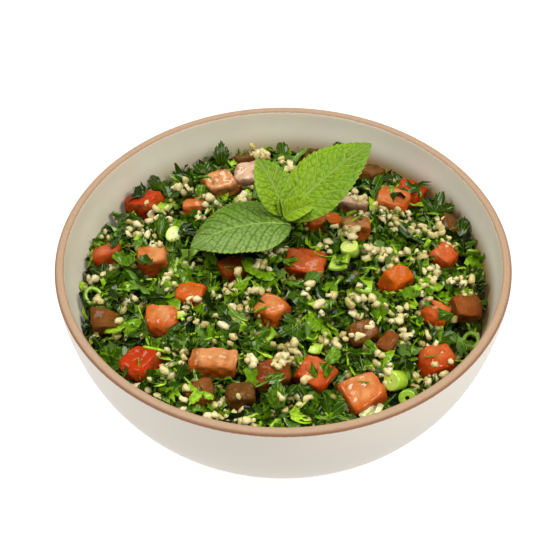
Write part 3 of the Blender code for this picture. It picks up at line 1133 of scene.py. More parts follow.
@dataclass
class Parsley:
    """The chopped parsley: broad leaf scraps, small shreds, slivers, frills, stems and whole leaflets."""

    heap: Heap
    kinds: tuple[ScrapKind, ...] = (
        ScrapKind("parsley_fans", Form.FAN, 1150, 4, 10,
                  (7, 13), (0.5, 1.0), 1.2, 0.2, 0.3, (-3.0, 2.2), 30, 0.46, 10),
        ScrapKind("parsley_blades", Form.STRIP, 1250, 8, 4,
                  (8, 15), (4, 7.5), 1.2, 0.6, 0.25, (-3.6, 2.0), 28, 0.42, 11),
        ScrapKind("parsley_shreds", Form.STRIP, 3000, 3, 2,
                  (4, 7), (2.5, 5), 0.9, 0.4, 0.25, (-7.0, -1.5), 34, 0.34, 12),
        ScrapKind("parsley_slivers", Form.STRIP, 1100, 7, 2,
                  (5, 12), (0.8, 1.9), 1.2, 0.3, 0.1, (-3.5, 2.2), 24, 0.58, 13),
        ScrapKind("parsley_frills", Form.FAN, 900, 4, 8,
                  (4, 7), (0.6, 1.2), 1.5, 0.4, 0.4, (-3.5, 2.0), 34, 0.42, 14),
    )
    jitter: float = 6.28 * 0.35
    stems: int = 360
    stem_rows: int = 7
    stem_sides: int = 6

    def fans(self, kind: ScrapKind, count: int, chance: np.random.Generator) -> tuple[np.ndarray, ...]:
        """Toothed fans cut from a leaflet, flat, about their own middles.

        Args:
            kind: the kind of scrap, whose width is half the fan's angle.
            count: how many.
            chance: the source of their unevenness.

        Returns:
            Lengthwise, sidewise and upward positions, the vein count at each point and the width of a vein.
        """
        def pick(low: float, high: float) -> np.ndarray:
            """One number for each scrap."""
            return chance.uniform(low, high, (count, 1, 1))

        columns = kind.columns + 1
        length = pick(*kind.length) * MM
        start = pick(0.08, 0.42)
        out = start + (1 - start) * np.linspace(0, 1, kind.rows + 1)[None, :, None]
        low, high = pick(-1, -0.35), pick(0.35, 1)
        share = low + (high - low) * np.linspace(0, 1, columns)[None, None, :]
        spread = pick(*kind.width)
        notch = (np.arange(columns) % 2)[None, None, :] * chance.uniform(0.3, 1.5, (count, 1, columns))
        reach = length * (1 - 0.2 * share * share) * (1 + 0.09 * chance.normal(size=(count, 1, columns)))
        radius = reach * out * (1 - kind.teeth * notch * out ** 2.5)
        x = radius * np.cos(share * spread) - 0.6 * length
        y = radius * np.sin(share * spread)
        wave = np.cos(math.pi * pick(1.0, 2.6) * share + pick(0, 6.28))
        z = radius * kind.pleat * pick(0.2, 1.6) * wave + pick(-0.22, 0.22) * length * out ** 4
        z = z + pick(-0.9, 0.9) * y * y / length
        rib = np.arange(columns)[None, None, :] / 2 + 0 * x
        rib_width = 0.2 * MM / (radius * spread * (high - low) / kind.columns * 2 + 0.5 * MM)
        return x, y, z, length, rib, rib_width

    def strips(self, kind: ScrapKind, count: int, chance: np.random.Generator) -> tuple[np.ndarray, ...]:
        """Long folded scraps with a lobed edge, flat, about their own middles; see fans()."""
        def pick(low: float, high: float) -> np.ndarray:
            """One number for each scrap."""
            return chance.uniform(low, high, (count, 1, 1))

        rows, columns = kind.rows + 1, kind.columns + 1
        along = np.linspace(0, 1, rows)[None, :, None]
        across = np.linspace(-1, 1, columns)[None, None, :]
        length, width = pick(*kind.length) * MM, pick(*kind.width) * MM
        start, end = pick(0.0, 0.45), pick(0.72, 1.0)
        share = start + (end - start) * along
        half = width / 2 * np.clip(np.sin(math.pi * np.clip(share, 0.02, 0.985) ** 0.85), 0.12, 1) ** 0.6
        lobes = np.abs((share * pick(3.0, 5.5) + pick(0, 1) + 0.4 * (across > 0)) % 1 - 0.35) / 0.65
        half = half * (1 - kind.teeth * lobes * np.abs(across) * 1.7)
        half = half * (1 + 0.28 * chance.normal(size=(count, 1, 1)) * np.sign(across))
        half = half * (1 + 0.12 * chance.normal(size=(count, rows, 1)))
        y = across * half
        x = length * (along - 0.5) + np.abs(across) * length * pick(-0.16, 0.06)
        z = np.abs(y) * kind.pleat * pick(-0.6, 2.0) + y * y / np.maximum(width, 1e-6) * pick(-0.9, 0.9)
        z = z + 0.2 * half * across ** 2 * np.sin(along * pick(6, 12) + across * 1.6 + pick(0, 6.28))
        rib = across / 2 + 0 * x
        return x, y, z, length, rib, 0.2 * MM / (2 * half + 0.4 * MM) + 0 * x

    def curl(self, x: np.ndarray, y: np.ndarray, z: np.ndarray, length: np.ndarray, bend: float,
             chance: np.random.Generator) -> np.ndarray:
        """Bends and twists flat scraps.

        Args:
            x: lengthwise positions.
            y: sidewise positions.
            z: upward positions.
            length: each scrap's length.
            bend: how far they typically bend over their length, in radians.
            chance: the source of their unevenness.

        Returns:
            The points, with the coordinate last.
        """
        count = len(x)
        turn = bend * chance.normal(0, 0.9, (count, 1, 1))
        turn = np.where(np.abs(turn) < 0.02, 0.02, turn)
        bent_x, bent_z = arched(x, z, length / turn)
        twist = chance.normal(0, 0.4, (count, 1, 1)) * x / length * 2
        return np.stack([bent_x, y * np.cos(twist) - z * np.sin(twist), bent_z + y * np.sin(twist)], -1)

    def settle(self, points: np.ndarray, x: np.ndarray, y: np.ndarray, level: np.ndarray, tilt: float,
               top: np.ndarray, chance: np.random.Generator) -> np.ndarray:
        """Lays shapes on or in the heap, each turned and tilted by chance.

        Args:
            points: shapes about their own middles, with the shape first and the coordinate last.
            x: where each goes.
            y: where each goes.
            level: how far each lies above the heap's surface, in metres.
            tilt: how far they typically tilt from the surface, in degrees.
            top: the height of what carries each, or nan where the heap does.
            chance: the source of their turns.

        Returns:
            The points in place, in the same layout.
        """
        count = len(x)
        over = np.isfinite(top)
        up = self.heap.normal(x, y)
        turn = rotations(np.tile([0.0, 0.0, 1.0], (count, 1)), chance.uniform(0, 2 * math.pi, count))
        way = chance.uniform(0, 2 * math.pi, count)
        lean_axis = np.stack([np.cos(way), np.sin(way), np.zeros(count)], -1)
        leaning = np.where(over, 6.0, np.clip(np.abs(chance.normal(0, tilt, count)), 0, 75))
        lean = rotations(lean_axis, np.radians(leaning))
        axis = np.stack([-up[:, 1], up[:, 0], np.zeros(count)], -1)
        axis /= np.maximum(np.linalg.norm(axis, axis=1, keepdims=True), 1e-6)
        slope = rotations(axis, np.arccos(np.clip(up[:, 2], -1, 1)))
        matrix = slope @ lean @ turn
        placed = np.einsum("kij,knj->kni", matrix, points.reshape(count, -1, 3))
        middle = np.stack([x, y, self.heap.surface(x, y)], -1) + up * level[:, None]
        middle[:, 2] = np.where(over, np.nan_to_num(top) + 0.5 * MM, middle[:, 2])
        return (placed + middle[:, None]).reshape(points.shape)

    def build_kind(self, kind: ScrapKind, finish: bpy.types.Material, cover: Cover) -> bpy.types.Object:
        """Scatters one kind of scrap over the heap as one piece.

        Args:
            kind: the kind.
            finish: the dressed parsley.
            cover: the dice and slices that lie there already.

        Returns:
            The piece.
        """
        chance = np.random.default_rng(kind.seed)
        x, y = scatter(kind.count, self.heap.reach, self.jitter, chance)
        level = chance.uniform(*kind.depth, kind.count) * MM
        keep, top = cover.sort(x, y, level, kind.length[0] * 0.3 * MM, chance)
        x, y, level, top = x[keep], y[keep], level[keep], top[keep]
        count = len(x)
        shape = self.fans if kind.form is Form.FAN else self.strips
        lengthwise, sidewise, upward, length, rib, rib_width = shape(kind, count, chance)
        points = self.curl(lengthwise, sidewise, upward, length, kind.bend, chance)
        points = self.settle(points, x, y, level, kind.tilt, top, chance)
        each = points.shape[1] * points.shape[2]
        # Scraps that lie deeper get a darker tone: painted shade.
        tone = kind.tone + chance.normal(0, 0.22, count) + 0.03 * (level / MM + 1.0)
        tone += 0.08 * wavy(np.stack([x, y, 0 * x], -1), 28 * MM, kind.seed)
        turned = chance.random(count) < 0.16
        under = np.where(turned, chance.uniform(0.4, 0.9, count), 0.0)
        values = {
            "tone": np.repeat(np.clip(tone, 0.02, 1.0), each), "under": np.repeat(under, each),
            "rib": rib.ravel(), "rib_width": rib_width.ravel(),
        }
        flat = self.heap.press(points.reshape(-1, 3))
        faces = repeat_faces(grid_faces(kind.rows + 1, kind.columns + 1), count, each)
        piece = make_piece(kind.name, flat, faces, finish, values)
        return piece

    def build_stems(self, finish: bpy.types.Material, cover: Cover) -> bpy.types.Object:
        """Scatters thin curved stems over the heap as one piece."""
        chance = np.random.default_rng(21)
        rows, sides = self.stem_rows, self.stem_sides
        x, y = scatter(self.stems, self.heap.reach, self.jitter, chance)
        level = chance.uniform(-3.0, 1.2, self.stems) * MM
        keep, top = cover.sort(x, y, level, 2 * MM, chance)
        x, y, level, top = x[keep], y[keep], level[keep], top[keep]
        count = len(x)
        along = np.linspace(-0.5, 0.5, rows)[None, :, None]
        around = (np.arange(sides) * 2 * math.pi / sides)[None, None, :]
        length = chance.uniform(6, 15, (count, 1, 1)) * MM
        thick = chance.uniform(0.35, 0.75, (count, 1, 1)) * MM
        bend = chance.normal(0, 1.1, (count, 1, 1)) + 1e-3
        taper = 1 - 0.25 * np.abs(along * 2) ** 6
        across = thick * taper * np.cos(around)
        out = thick * taper * np.sin(around)
        bent_x, bent_z = arched(length * along, out, length / bend)
        points = np.stack([bent_x, across + 0 * along, bent_z], -1)
        points = self.settle(points, x, y, level, 16, top, chance)
        tone = np.repeat(np.clip(chance.normal(0.82, 0.12, count), 0.3, 1), rows * sides)
        flat = self.heap.press(points.reshape(-1, 3))
        faces = repeat_faces(ring_faces(rows, sides, capped=True), count, rows * sides)
        values = {"tone": tone, "under": 0 * tone, "rib": 0 * tone + 0.5, "rib_width": 0 * tone + 0.1}
        piece = make_piece("parsley_stems", flat, faces, finish, values)
        return piece

    def build(self, finish: bpy.types.Material, cover: Cover) -> list[bpy.types.Object]:
        """Makes every kind of scrap and the stems."""
        scraps = [self.build_kind(kind, finish, cover) for kind in self.kinds]
        return scraps + [self.build_stems(finish, cover)]


@dataclass(frozen=True)
class Leaflet:
    """One whole leaf on top of the heap.

    Where it lies and how far above the heap in mm, its length in mm, the heading of its tip, pitch and roll
    in degrees, how many lobes it has, how far it curls in radians, and its tone and greyness.
    """

    x: float
    y: float
    lift: float
    length: float
    heading: float
    pitch: float
    roll: float
    lobes: int
    curl: float
    tone: float
    under: float = 0.0


@dataclass
class WholeLeaves:
    """The larger parsley leaves that lie whole on the heap, each with lobes, teeth and a stalk."""

    heap: Heap
    rows: int = 12
    columns: int = 40
    leaves: tuple[Leaflet, ...] = (
        Leaflet(-66, -9, 2.2, 13, 215, 4, 10, 3, 0.5, 0.62, 0.7),
        Leaflet(-10, -8, 2.6, 12, 60, 8, 0, 3, 0.2, 0.74),
        Leaflet(-14, -4, 2.0, 11, 150, 14, 10, 1, 0.4, 0.66),
        Leaflet(-72, -31, 2.4, 12, 170, 6, 14, 1, 0.4, 0.82),
        Leaflet(-64, -33, 2.0, 10, 200, 16, -10, 1, 0.5, 0.7),
        Leaflet(-35, -70, 2.6, 10, 245, 12, 0, 3, 0.3, 0.8),
        Leaflet(19, -20, 2.6, 15, 250, -4, 24, 1, 0.8, 0.66),
        Leaflet(15, -34, 2.4, 14, 230, 2, -20, 1, 0.6, 0.7),
        Leaflet(13, -13, 2.8, 11, 20, 10, 14, 1, 0.6, 0.5, 0.4),
        Leaflet(8, -17, 2.6, 9, 150, 12, -8, 1, 0.6, 0.46),
        Leaflet(-31, 78, 3.0, 12, 95, 60, 0, 1, 0.6, 0.32),
        Leaflet(-40, 72, 2.4, 10, 120, 50, 20, 3, 0.5, 0.36),
        Leaflet(-47, 60, 2.4, 10, 160, 36, 0, 1, 0.6, 0.3),
        Leaflet(-74, 36, 2.2, 10, 190, 30, 0, 1, 0.7, 0.28),
        Leaflet(-48, 28, 2.2, 13, 250, 4, 30, 1, 0.5, 0.62),
        Leaflet(-52, 4, 2.0, 14, 240, 0, 30, 1, 0.5, 0.5),
        Leaflet(-36, 12, 2.0, 12, 260, 8, 10, 3, 0.6, 0.34),
        Leaflet(-26, -28, 2.2, 10, 120, 16, 10, 3, 0.7, 0.4),
        Leaflet(-22, -38, 2.0, 9, 30, 12, -10, 3, 0.5, 0.3),
        Leaflet(-47, -41, 2.2, 10, 320, 10, 0, 3, 0.5, 0.36),
        Leaflet(-70, -48, 2.0, 9, 140, 10, 0, 3, 0.5, 0.42),
        Leaflet(-8, -46, 2.2, 10, 340, 8, 12, 3, 0.5, 0.52),
        Leaflet(2, -39, 2.2, 11, 200, 8, 12, 3, 0.5, 0.4),
        Leaflet(20, -52, 2.2, 9, 60, 24, 0, 1, 0.5, 0.62),
        Leaflet(-2, -74, 2.6, 12, 82, 44, 0, 1, 0.4, 0.56),
        Leaflet(-14, -82, 2.0, 10, 340, 6, 0, 3, 0.5, 0.42),
        Leaflet(22, -76, 2.2, 10, 30, 10, 0, 3, 0.5, 0.44),
        Leaflet(8, -70, 2.0, 10, 300, 10, 0, 3, 0.6, 0.34),
        Leaflet(29, -26, 2.0, 10, 350, 8, 0, 3, 0.5, 0.4),
        Leaflet(56, -18, 2.2, 12, 240, 8, 14, 1, 0.6, 0.6),
        Leaflet(48, -30, 2.2, 9, 160, 10, 0, 3, 0.6, 0.5),
        Leaflet(70, -36, 2.0, 9, 20, 14, 0, 3, 0.6, 0.4),
        Leaflet(60, 26, 2.0, 10, 80, 20, 0, 3, 0.7, 0.4),
        Leaflet(74, 44, 2.2, 11, 70, 50, 0, 3, 0.5, 0.36),
        Leaflet(84, 30, 2.0, 11, 70, 58, 0, 1, 0.5, 0.3),
        Leaflet(46, 60, 2.2, 11, 60, 30, 0, 3, 0.6, 0.46),
        Leaflet(30, 58, 2.0, 10, 20, 12, 0, 3, 0.6, 0.42),
        Leaflet(58, 72, 2.2, 10, 80, 56, 0, 1, 0.5, 0.34),
        Leaflet(-6, 30, 2.0, 12, 260, 8, 0, 3, 0.6, 0.36),
        Leaflet(4, 10, 2.2, 10, 200, 8, 0, 3, 0.6, 0.3),
        Leaflet(44, 8, 2.0, 8, 300, 12, 0, 3, 0.6, 0.46),
        Leaflet(0, 84, 2.2, 10, 100, 50, 0, 1, 0.6, 0.4),
        Leaflet(26, 84, 2.2, 10, 80, 54, 0, 1, 0.6, 0.3),
        Leaflet(-62, 62, 2.0, 10, 130, 44, 0, 3, 0.6, 0.34),
        Leaflet(-84, 4, 1.8, 9, 160, 30, 0, 3, 0.6, 0.3),
        Leaflet(-52, 52, 2.0, 10, 40, 22, 0, 3, 0.6, 0.4),
    )

    def shape(self, leaf: Leaflet, chance: np.random.Generator) -> tuple[np.ndarray, ...]:
        """Makes one leaf, flat to the eye from above, with its base at the origin and its tip along X.

        Args:
            leaf: the leaf.
            chance: the source of its unevenness.

        Returns:
            Lengthwise, sidewise and upward positions as a grid, the vein count and the width of a vein.
        """
        out = (np.linspace(0.03, 1, self.rows + 1) ** 0.9)[:, None]
        share = np.linspace(-1, 1, self.columns + 1)[None, :]
        lobed = leaf.lobes == 3
        wide, vein_gap = (96.0, 31.0) if lobed else (50.0, 16.0)
        angle = share * wide + chance.normal(0, 3)
        lobe = np.radians(angle) * 90 / 62
        if lobed:
            outline = (0.34 + 0.66 * np.abs(np.cos(lobe * 2)) ** 0.7) * (1 - 0.26 * np.abs(angle / wide))
        else:
            outline = 1 - 0.75 * np.abs(share) ** 1.7
        teeth = (np.abs((angle / (wide / 9.0)) % 1 - 0.5) * 2) * 0.13
        outline = outline * (1 - teeth) * (1 + 0.05 * chance.normal(size=share.shape))
        radius = leaf.length * MM * out * (1 - (1 - outline) * out ** 0.8)
        x = radius * np.cos(np.radians(angle)) - 0.45 * leaf.length * MM
        y = radius * np.sin(np.radians(angle))
        crease = np.abs(np.sin(lobe)) if lobed else np.abs(share)
        z = radius * 0.22 * crease * chance.uniform(0.5, 1.4)
        z = z + 0.035 * radius * np.cos(np.radians(angle) * 7 + chance.uniform(0, 6)) * out
        z = z - leaf.length * MM * 0.2 * out ** 3 * chance.uniform(-0.6, 1.2)
        rib_width = 0.22 * MM / (radius * math.radians(vein_gap) + 0.4 * MM)
        return x, y, z, angle / vein_gap + 0 * x, rib_width + 0 * x

    def build(self, finish: bpy.types.Material) -> bpy.types.Object:
        """Makes all the whole leaves as one piece.

        Args:
            finish: the dressed parsley.

        Returns:
            The piece.
        """
        points, values = [], {"tone": [], "under": [], "rib": [], "rib_width": []}
        template = grid_faces(self.rows + 1, self.columns + 1)
        for number, leaf in enumerate(self.leaves):
            chance = np.random.default_rng(900 + number)
            x, y, z, rib, rib_width = self.shape(leaf, chance)
            bent_x, bent_z = arched(x, z, leaf.length * MM / leaf.curl)
            curled = np.stack([bent_x, y, bent_z], -1)
            spin = Matrix.Rotation(math.radians(leaf.heading), 3, "Z")
            lift = Matrix.Rotation(-math.radians(leaf.pitch), 3, "Y")
            roll = Matrix.Rotation(math.radians(leaf.roll), 3, "X")
            here = np.array([leaf.x * MM]), np.array([leaf.y * MM])
            up = Vector(self.heap.normal(*here)[0])
            slope = Vector((0, 0, 1)).rotation_difference(up).to_matrix()
            matrix = np.array(slope @ spin @ lift @ roll)
            base = np.array([leaf.x * MM, leaf.y * MM, float(self.heap.surface(*here)[0]) + leaf.lift * MM])
            base = base + np.array(up) * math.sin(math.radians(max(leaf.pitch, 0))) * leaf.length * 0.35 * MM
            points.append(curled.reshape(-1, 3) @ matrix.T + base)
            size = len(points[-1])
            values["tone"].append(np.full(size, leaf.tone))
            values["under"].append(np.full(size, leaf.under))
            values["rib"].append(rib.ravel())
            values["rib_width"].append(rib_width.ravel())
        merged = self.heap.press(np.vstack(points))
        faces = repeat_faces(template, len(points), len(points[0]))
        values = {key: np.concatenate(value) for key, value in values.items()}
        piece = make_piece("parsley_leaves", merged, faces, finish, values)
        return piece


# ---------------------------------------------------------------- bulgur


@dataclass
class Bulgur:
    """The soaked bulgur, in single grains and clumps.

    Some clumps are listed: x and y in mm and how many grains. The others are scattered.
    """

    heap: Heap
    clumps: int = 92
    sunk: int = 430
    grain: float = 2.1 * MM
    shapes: int = 14
    cuts: int = 8
    cut_depth: float = 0.58
    inset: float = 3 * MM
    laid: tuple[tuple[float, float, int], ...] = (
        (-70, 32, 9), (-62, 38, 7), (-66, 26, 5), (-56, 12, 3), (45, 34, 9), (40, 30, 7), (52, 28, 6),
        (56, 36, 8), (48, 52, 5), (66, 30, 8), (72, 24, 6), (8, 68, 9), (15, 72, 7), (2, 64, 6),
        (20, 66, 5), (43, 13, 7), (40, 5, 7), (44, -2, 6), (56, 4, 5), (62, 12, 5), (76, 2, 7), (82, -6, 6),
        (30, -22, 7), (28, -30, 6), (26, -12, 5), (38, -28, 8), (44, -34, 7), (52, -36, 8), (50, -26, 5),
        (60, -38, 5), (40, -50, 4), (-48, -56, 8), (-42, -52, 5), (-53, -62, 4), (-40, -30, 6),
        (-34, -34, 4), (-50, -8, 6), (-12, -22, 6), (-18, -26, 4), (5, -48, 6), (2, -54, 5), (20, -46, 4),
        (-20, -76, 7), (-12, -80, 6), (38, -80, 5), (16, 8, 5), (-2, 6, 4), (64, -12, 5), (34, 44, 6),
        (-86, -4, 4), (-84, 24, 4), (10, -72, 4),
    )

    def templates(self, splits: int = 2) -> tuple[list[np.ndarray], np.ndarray]:
        """Some uneven grains about their own middles.

        Args:
            splits: how often each side of the first solid is split.

        Returns:
            Their points, and the triangles that all of them share.
        """
        shape = bmesh.new()
        bmesh.ops.create_icosphere(shape, subdivisions=splits, radius=1.0)
        ball = np.array([v.co for v in shape.verts])
        faces = np.array([[v.index for v in f.verts] for f in shape.faces], np.int32)
        shape.free()
        grains = []
        for number in range(self.shapes):
            chance = np.random.default_rng(700 + number)
            spans = ((0.95, 1.35), (0.8, 1.05), (0.65, 0.9))
            axes = np.array([chance.uniform(low, high) for low, high in spans])
            lump = 1.06 + 0.28 * wavy(ball, 2.6, 40 + number) + 0.15 * wavy(ball, 1.2, 60 + number)
            ways = chance.normal(size=(self.cuts, 3))
            ways /= np.linalg.norm(ways, axis=1, keepdims=True)
            flat = np.minimum(1, self.cut_depth / np.maximum(ball @ ways.T, 1e-3)).min(axis=1)
            grains.append(ball * (flat * lump)[:, None] * axes)
        return grains, faces

    def places(self, chance: np.random.Generator) -> list[tuple[float, float, int]]:
        """Where the clumps lie and how many grains each has."""
        x, y = scatter(self.clumps, self.heap.reach - self.inset, 2.4, chance)
        size = np.clip(chance.geometric(0.34, self.clumps), 1, 9)
        return [*zip(x, y, size.tolist()), *((a * MM, b * MM, grains) for a, b, grains in self.laid)]

    def build(self, finish: bpy.types.Material, ground: BVHTree, cover: Cover) -> bpy.types.Object:
        """Drops the grains, clump by clump, on what lies there.

        Args:
            finish: the soaked bulgur.
            ground: the surface of the heap and the dice.
            cover: the dice and slices alone.

        Returns:
            The piece.
        """
        chance = np.random.default_rng(31)
        grains, template = self.templates()
        points, tones = [], []
        for x, y, size in self.places(chance):
            if math.isfinite(cover.tops(np.array([x]), np.array([y]))[0]) and chance.random() < 0.55:
                continue
            packed = []
            for _ in range(size):
                radius = self.grain * chance.uniform(0.66, 1.25)
                for _ in range(30):
                    reach = self.grain * 0.72 * math.sqrt(size)
                    place = np.array([x, y]) + chance.normal(0, reach, 2)
                    gaps = [np.hypot(*(place - other)) for other in packed]
                    if not gaps or self.grain * 0.95 < min(gaps) < self.grain * 1.6:
                        break
                packed.append(place)
                if np.hypot(*place) > self.heap.reach - 1.5 * MM:
                    continue
                hit = ground.ray_cast(Vector((*place, RAY_START)), Vector((0, 0, -1)))[0]
                if hit is None:
                    continue
                axis = chance.normal(size=(1, 3))
                turn = rotations(axis / np.linalg.norm(axis), chance.uniform(0, 6.28, 1))[0]
                middle = max(0.0, 1 - np.hypot(*(place - (x, y))) / (self.grain * 2))
                heaped = 0.45 * max(size - 3, 0) ** 0.5 * middle
                centre = np.array(hit) + [0, 0, radius * (chance.uniform(-0.7, 0.6) + heaped)]
                points.append((grains[int(chance.integers(len(grains)))] * radius) @ turn.T + centre)
                tones.append(np.full(len(points[-1]), np.clip(chance.normal(0.6, 0.16), 0, 1)))
        return self.join("bulgur_grains", points, template, tones, finish)

    def join(self, name: str, points: list[np.ndarray], template: np.ndarray, tones: list[np.ndarray],
             finish: bpy.types.Material) -> bpy.types.Object:
        """Makes one piece of many grains.

        Args:
            name: the piece's name.
            points: each grain's points.
            template: the triangles that all the grains share.
            tones: each grain's tones.
            finish: the soaked bulgur.

        Returns:
            The piece.
        """
        merged = self.heap.press(np.vstack(points), 0.2 * MM)
        faces = repeat_faces(template, len(points), len(points[0]))
        piece = make_piece(name, merged, faces, finish, {"tone": np.concatenate(tones)})
        return piece

    def build_sunk(self, finish: bpy.types.Material) -> bpy.types.Object:
        """Makes the grains that lie between the herbs, given darker tones as painted shade, as one piece."""
        chance = np.random.default_rng(37)
        grains, template = self.templates(1)
        x, y = scatter(self.sunk, self.heap.reach - self.inset, 3.0, chance)
        z = self.heap.surface(x, y) + chance.uniform(-0.4, 1.5, self.sunk) * MM
        points, tones = [], []
        for centre in np.stack([x, y, z], -1):
            axis = chance.normal(size=(1, 3))
            turn = rotations(axis / np.linalg.norm(axis), chance.uniform(0, 6.28, 1))[0]
            radius = self.grain * chance.uniform(0.7, 1.15)
            points.append((grains[int(chance.integers(len(grains)))] * radius) @ turn.T + centre)
            # Low tones: painted shade between the herbs.
            tones.append(np.full(len(points[-1]), chance.uniform(-0.1, 0.34)))
        return self.join("bulgur_sunk", points, template, tones, finish)


# ---------------------------------------------------------------- spring onion


@dataclass(frozen=True)
class Slice:
    """One slice of spring onion.

    Where it lies and how far above the heap in mm, its outer radius in mm, its bore as a share of that, its
    height in mm, its arc, tilt, the way it tilts and its turn in degrees, and how green it is outside and
    inside.
    """

    x: float
    y: float
    lift: float
    radius: float
    bore: float
    height: float
    arc: float
    tilt: float
    way: float
    turn: float
    outside: float
    inside: float


@dataclass
class SpringOnions:
    """The slices of spring onion: pale solid discs, green rings and curved pieces of green leaf."""

    heap: Heap
    slices: tuple[Slice, ...] = (
        Slice(-50, 19, 1.6, 4.0, 0.0, 3.2, 360, 28, 250, 0, 0.62, 0.12),
        Slice(30, 6, 3.6, 4.1, 0.0, 5.0, 360, 12, 200, 0, 0.38, 0.2),
        Slice(29.5, 14, 2.0, 3.9, 0.45, 6.0, 360, 30, 250, 0, 0.66, 0.4),
        Slice(25, -3.5, 3.8, 10.0, 0.8, 9.0, 52, 84, 255, 20, 0.56, 0.5),
        Slice(35.5, -15, 3.6, 10.0, 0.8, 8.5, 52, 78, 262, -14, 0.64, 0.56),
        Slice(22, -14, 0.8, 9.0, 0.84, 8.0, 60, 76, 240, 40, 0.85, 0.7),
        Slice(-56, 41, 3.0, 9.5, 0.84, 8.5, 58, 74, 250, 14, 0.72, 0.6),
        Slice(88, 18, 1.4, 8.0, 0.84, 8.0, 66, 74, 190, 60, 0.72, 0.6),
        Slice(-85, -11, 0.8, 4.4, 0.62, 4.0, 360, 34, 300, 0, 0.8, 0.55),
        Slice(82, -33, 0.6, 4.4, 0.6, 4.0, 360, 36, 240, 0, 0.78, 0.55),
        Slice(46.5, -61.5, 2.6, 4.3, 0.0, 6.4, 360, 56, 215, 0, 0.47, 0.34),
        Slice(51.5, -67.5, 1.2, 3.8, 0.25, 5.0, 360, 50, 250, 0, 0.7, 0.55),
        Slice(36, -75, 0.8, 5.0, 0.5, 8.5, 140, 80, 250, 10, 0.2, 0.04),
        Slice(-78, 38, 0.2, 4.6, 0.7, 4.0, 230, 40, 320, 30, 0.92, 0.75),
        Slice(57, 60, 0.6, 4.6, 0.6, 4.4, 360, 30, 180, 0, 0.7, 0.45),
        Slice(68, -6, 0.4, 8.0, 0.84, 7.0, 60, 72, 230, 0, 0.78, 0.6),
        Slice(-6, -42, 0.4, 8.0, 0.84, 6.0, 54, 72, 290, 30, 0.8, 0.62),
        Slice(-20, 40, 0.6, 4.2, 0.55, 4.0, 360, 34, 60, 0, 0.7, 0.4),
        Slice(30, 76, 0.8, 4.2, 0.3, 5.0, 360, 60, 250, 0, 0.6, 0.34),
        Slice(14, -46, 0.2, 7.0, 0.82, 7.0, 50, 80, 250, 12, 0.58, 0.42),
    )

    def shape(self, cut: Slice) -> tuple[np.ndarray, np.ndarray, np.ndarray]:
        """Makes one slice about its own middle.

        Args:
            cut: the slice.

        Returns:
            Points in metres, quads split into triangles, and how green each point is.
        """
        outer, inner, half = cut.radius * MM, max(cut.radius * cut.bore, 0.15) * MM, cut.height / 2 * MM
        edge = min(0.45 * MM, (outer - inner) * 0.3)
        face = np.linspace(outer - edge, inner + edge, 7)
        top = [(r, half) for r in face]
        bottom = [(r, -half) for r in face[::-1]]
        profile = np.array([(outer, -half + edge), (outer, 0), (outer, half - edge)] + top
                           + [(inner, half - edge), (inner, 0), (inner, -half + edge)] + bottom)
        share = np.clip((outer - profile[:, 0]) / max(outer - inner, 1e-6), 0, 1)
        full = cut.arc >= 360
        steps = 36 if full else 18
        angle = np.radians(np.linspace(-cut.arc / 2, cut.arc / 2, steps + 1)[: steps if full else steps + 1])
        chance = np.random.default_rng(int(abs(cut.x) * 7 + abs(cut.y) * 13))
        squash = chance.uniform(0.86, 0.98)
        wobble = 1 + 0.03 * np.sin(angle * 3 + chance.uniform(0, 6))
        radius = profile[:, 0][None] * wobble[:, None]
        points = np.stack([radius * np.cos(angle)[:, None], radius * np.sin(angle)[:, None] * squash,
                           np.repeat(profile[:, 1][None], len(angle), 0)], -1)
        if not full:
            points[..., 0] -= (outer + inner) / 2
        count, turns = len(profile), len(angle)
        tone = np.repeat((cut.outside + (cut.inside - cut.outside) * share ** 0.6)[None], len(angle), 0)
        rings = 0.07 * np.cos(share * 2 * math.pi * 3)[None] * (cut.bore < 0.3)
        faces = []
        for i in range(turns if full else turns - 1):
            here, there = i * count, (i + 1) % turns * count
            for j in range(count):
                k = (j + 1) % count
                faces += [(here + j, there + j, there + k), (here + j, there + k, here + k)]
        if not full:
            last = (turns - 1) * count
            faces += [(0, 1, count - 1), (last, last + count - 1, last + 1)]
            for a in range(1, count // 2):
                b, c, d = a + 1, count - 1 - a, count - a
                if b < c:
                    faces += [(a, b, d), (b, c, d)]
                    faces += [(last + a, last + d, last + b), (last + b, last + d, last + c)]
        return points.reshape(-1, 3), np.array(faces, np.int32), (tone + rings).ravel()

    def build(self, finish: bpy.types.Material) -> bpy.types.Object:
        """Makes all the slices as one piece.

        Args:
            finish: the spring onion.

        Returns:
            The piece.
        """
        points, faces, tones, start = [], [], [], 0
        for cut in self.slices:
            local, triangles, tone = self.shape(cut)
            x, y = cut.x * MM, cut.y * MM
            level = float(self.heap.surface(np.array([x]), np.array([y]))[0]) + cut.lift * MM
            way = math.radians(cut.way)
            tilt = Matrix.Rotation(math.radians(cut.tilt), 3, Vector((-math.sin(way), math.cos(way), 0)))
            turn = np.array(tilt @ Matrix.Rotation(math.radians(cut.turn + cut.way), 3, "Z"))
            points.append(local @ turn.T + [x, y, level])
            faces.append(triangles + start)
            tones.append(tone)
            start += len(local)
        merged = self.heap.press(np.vstack(points))
        values = {"tone": np.concatenate(tones)}
        piece = make_piece("spring_onion_slices", merged, np.vstack(faces), finish, values)
        return piece


# ---------------------------------------------------------------- mint


@dataclass(frozen=True)
class MintLeaf:
    """One mint leaf: offset of its base in mm, sizes in mm, headings and pitches in degrees, and its form."""

    offset: tuple[float, float, float]
    length: float
    width: float
    heading: tuple[float, float]
    pitch: tuple[float, float]
    roll: float
    fold: float
    droop: float
    age: tuple[float, float]
    rows: int
    columns: int


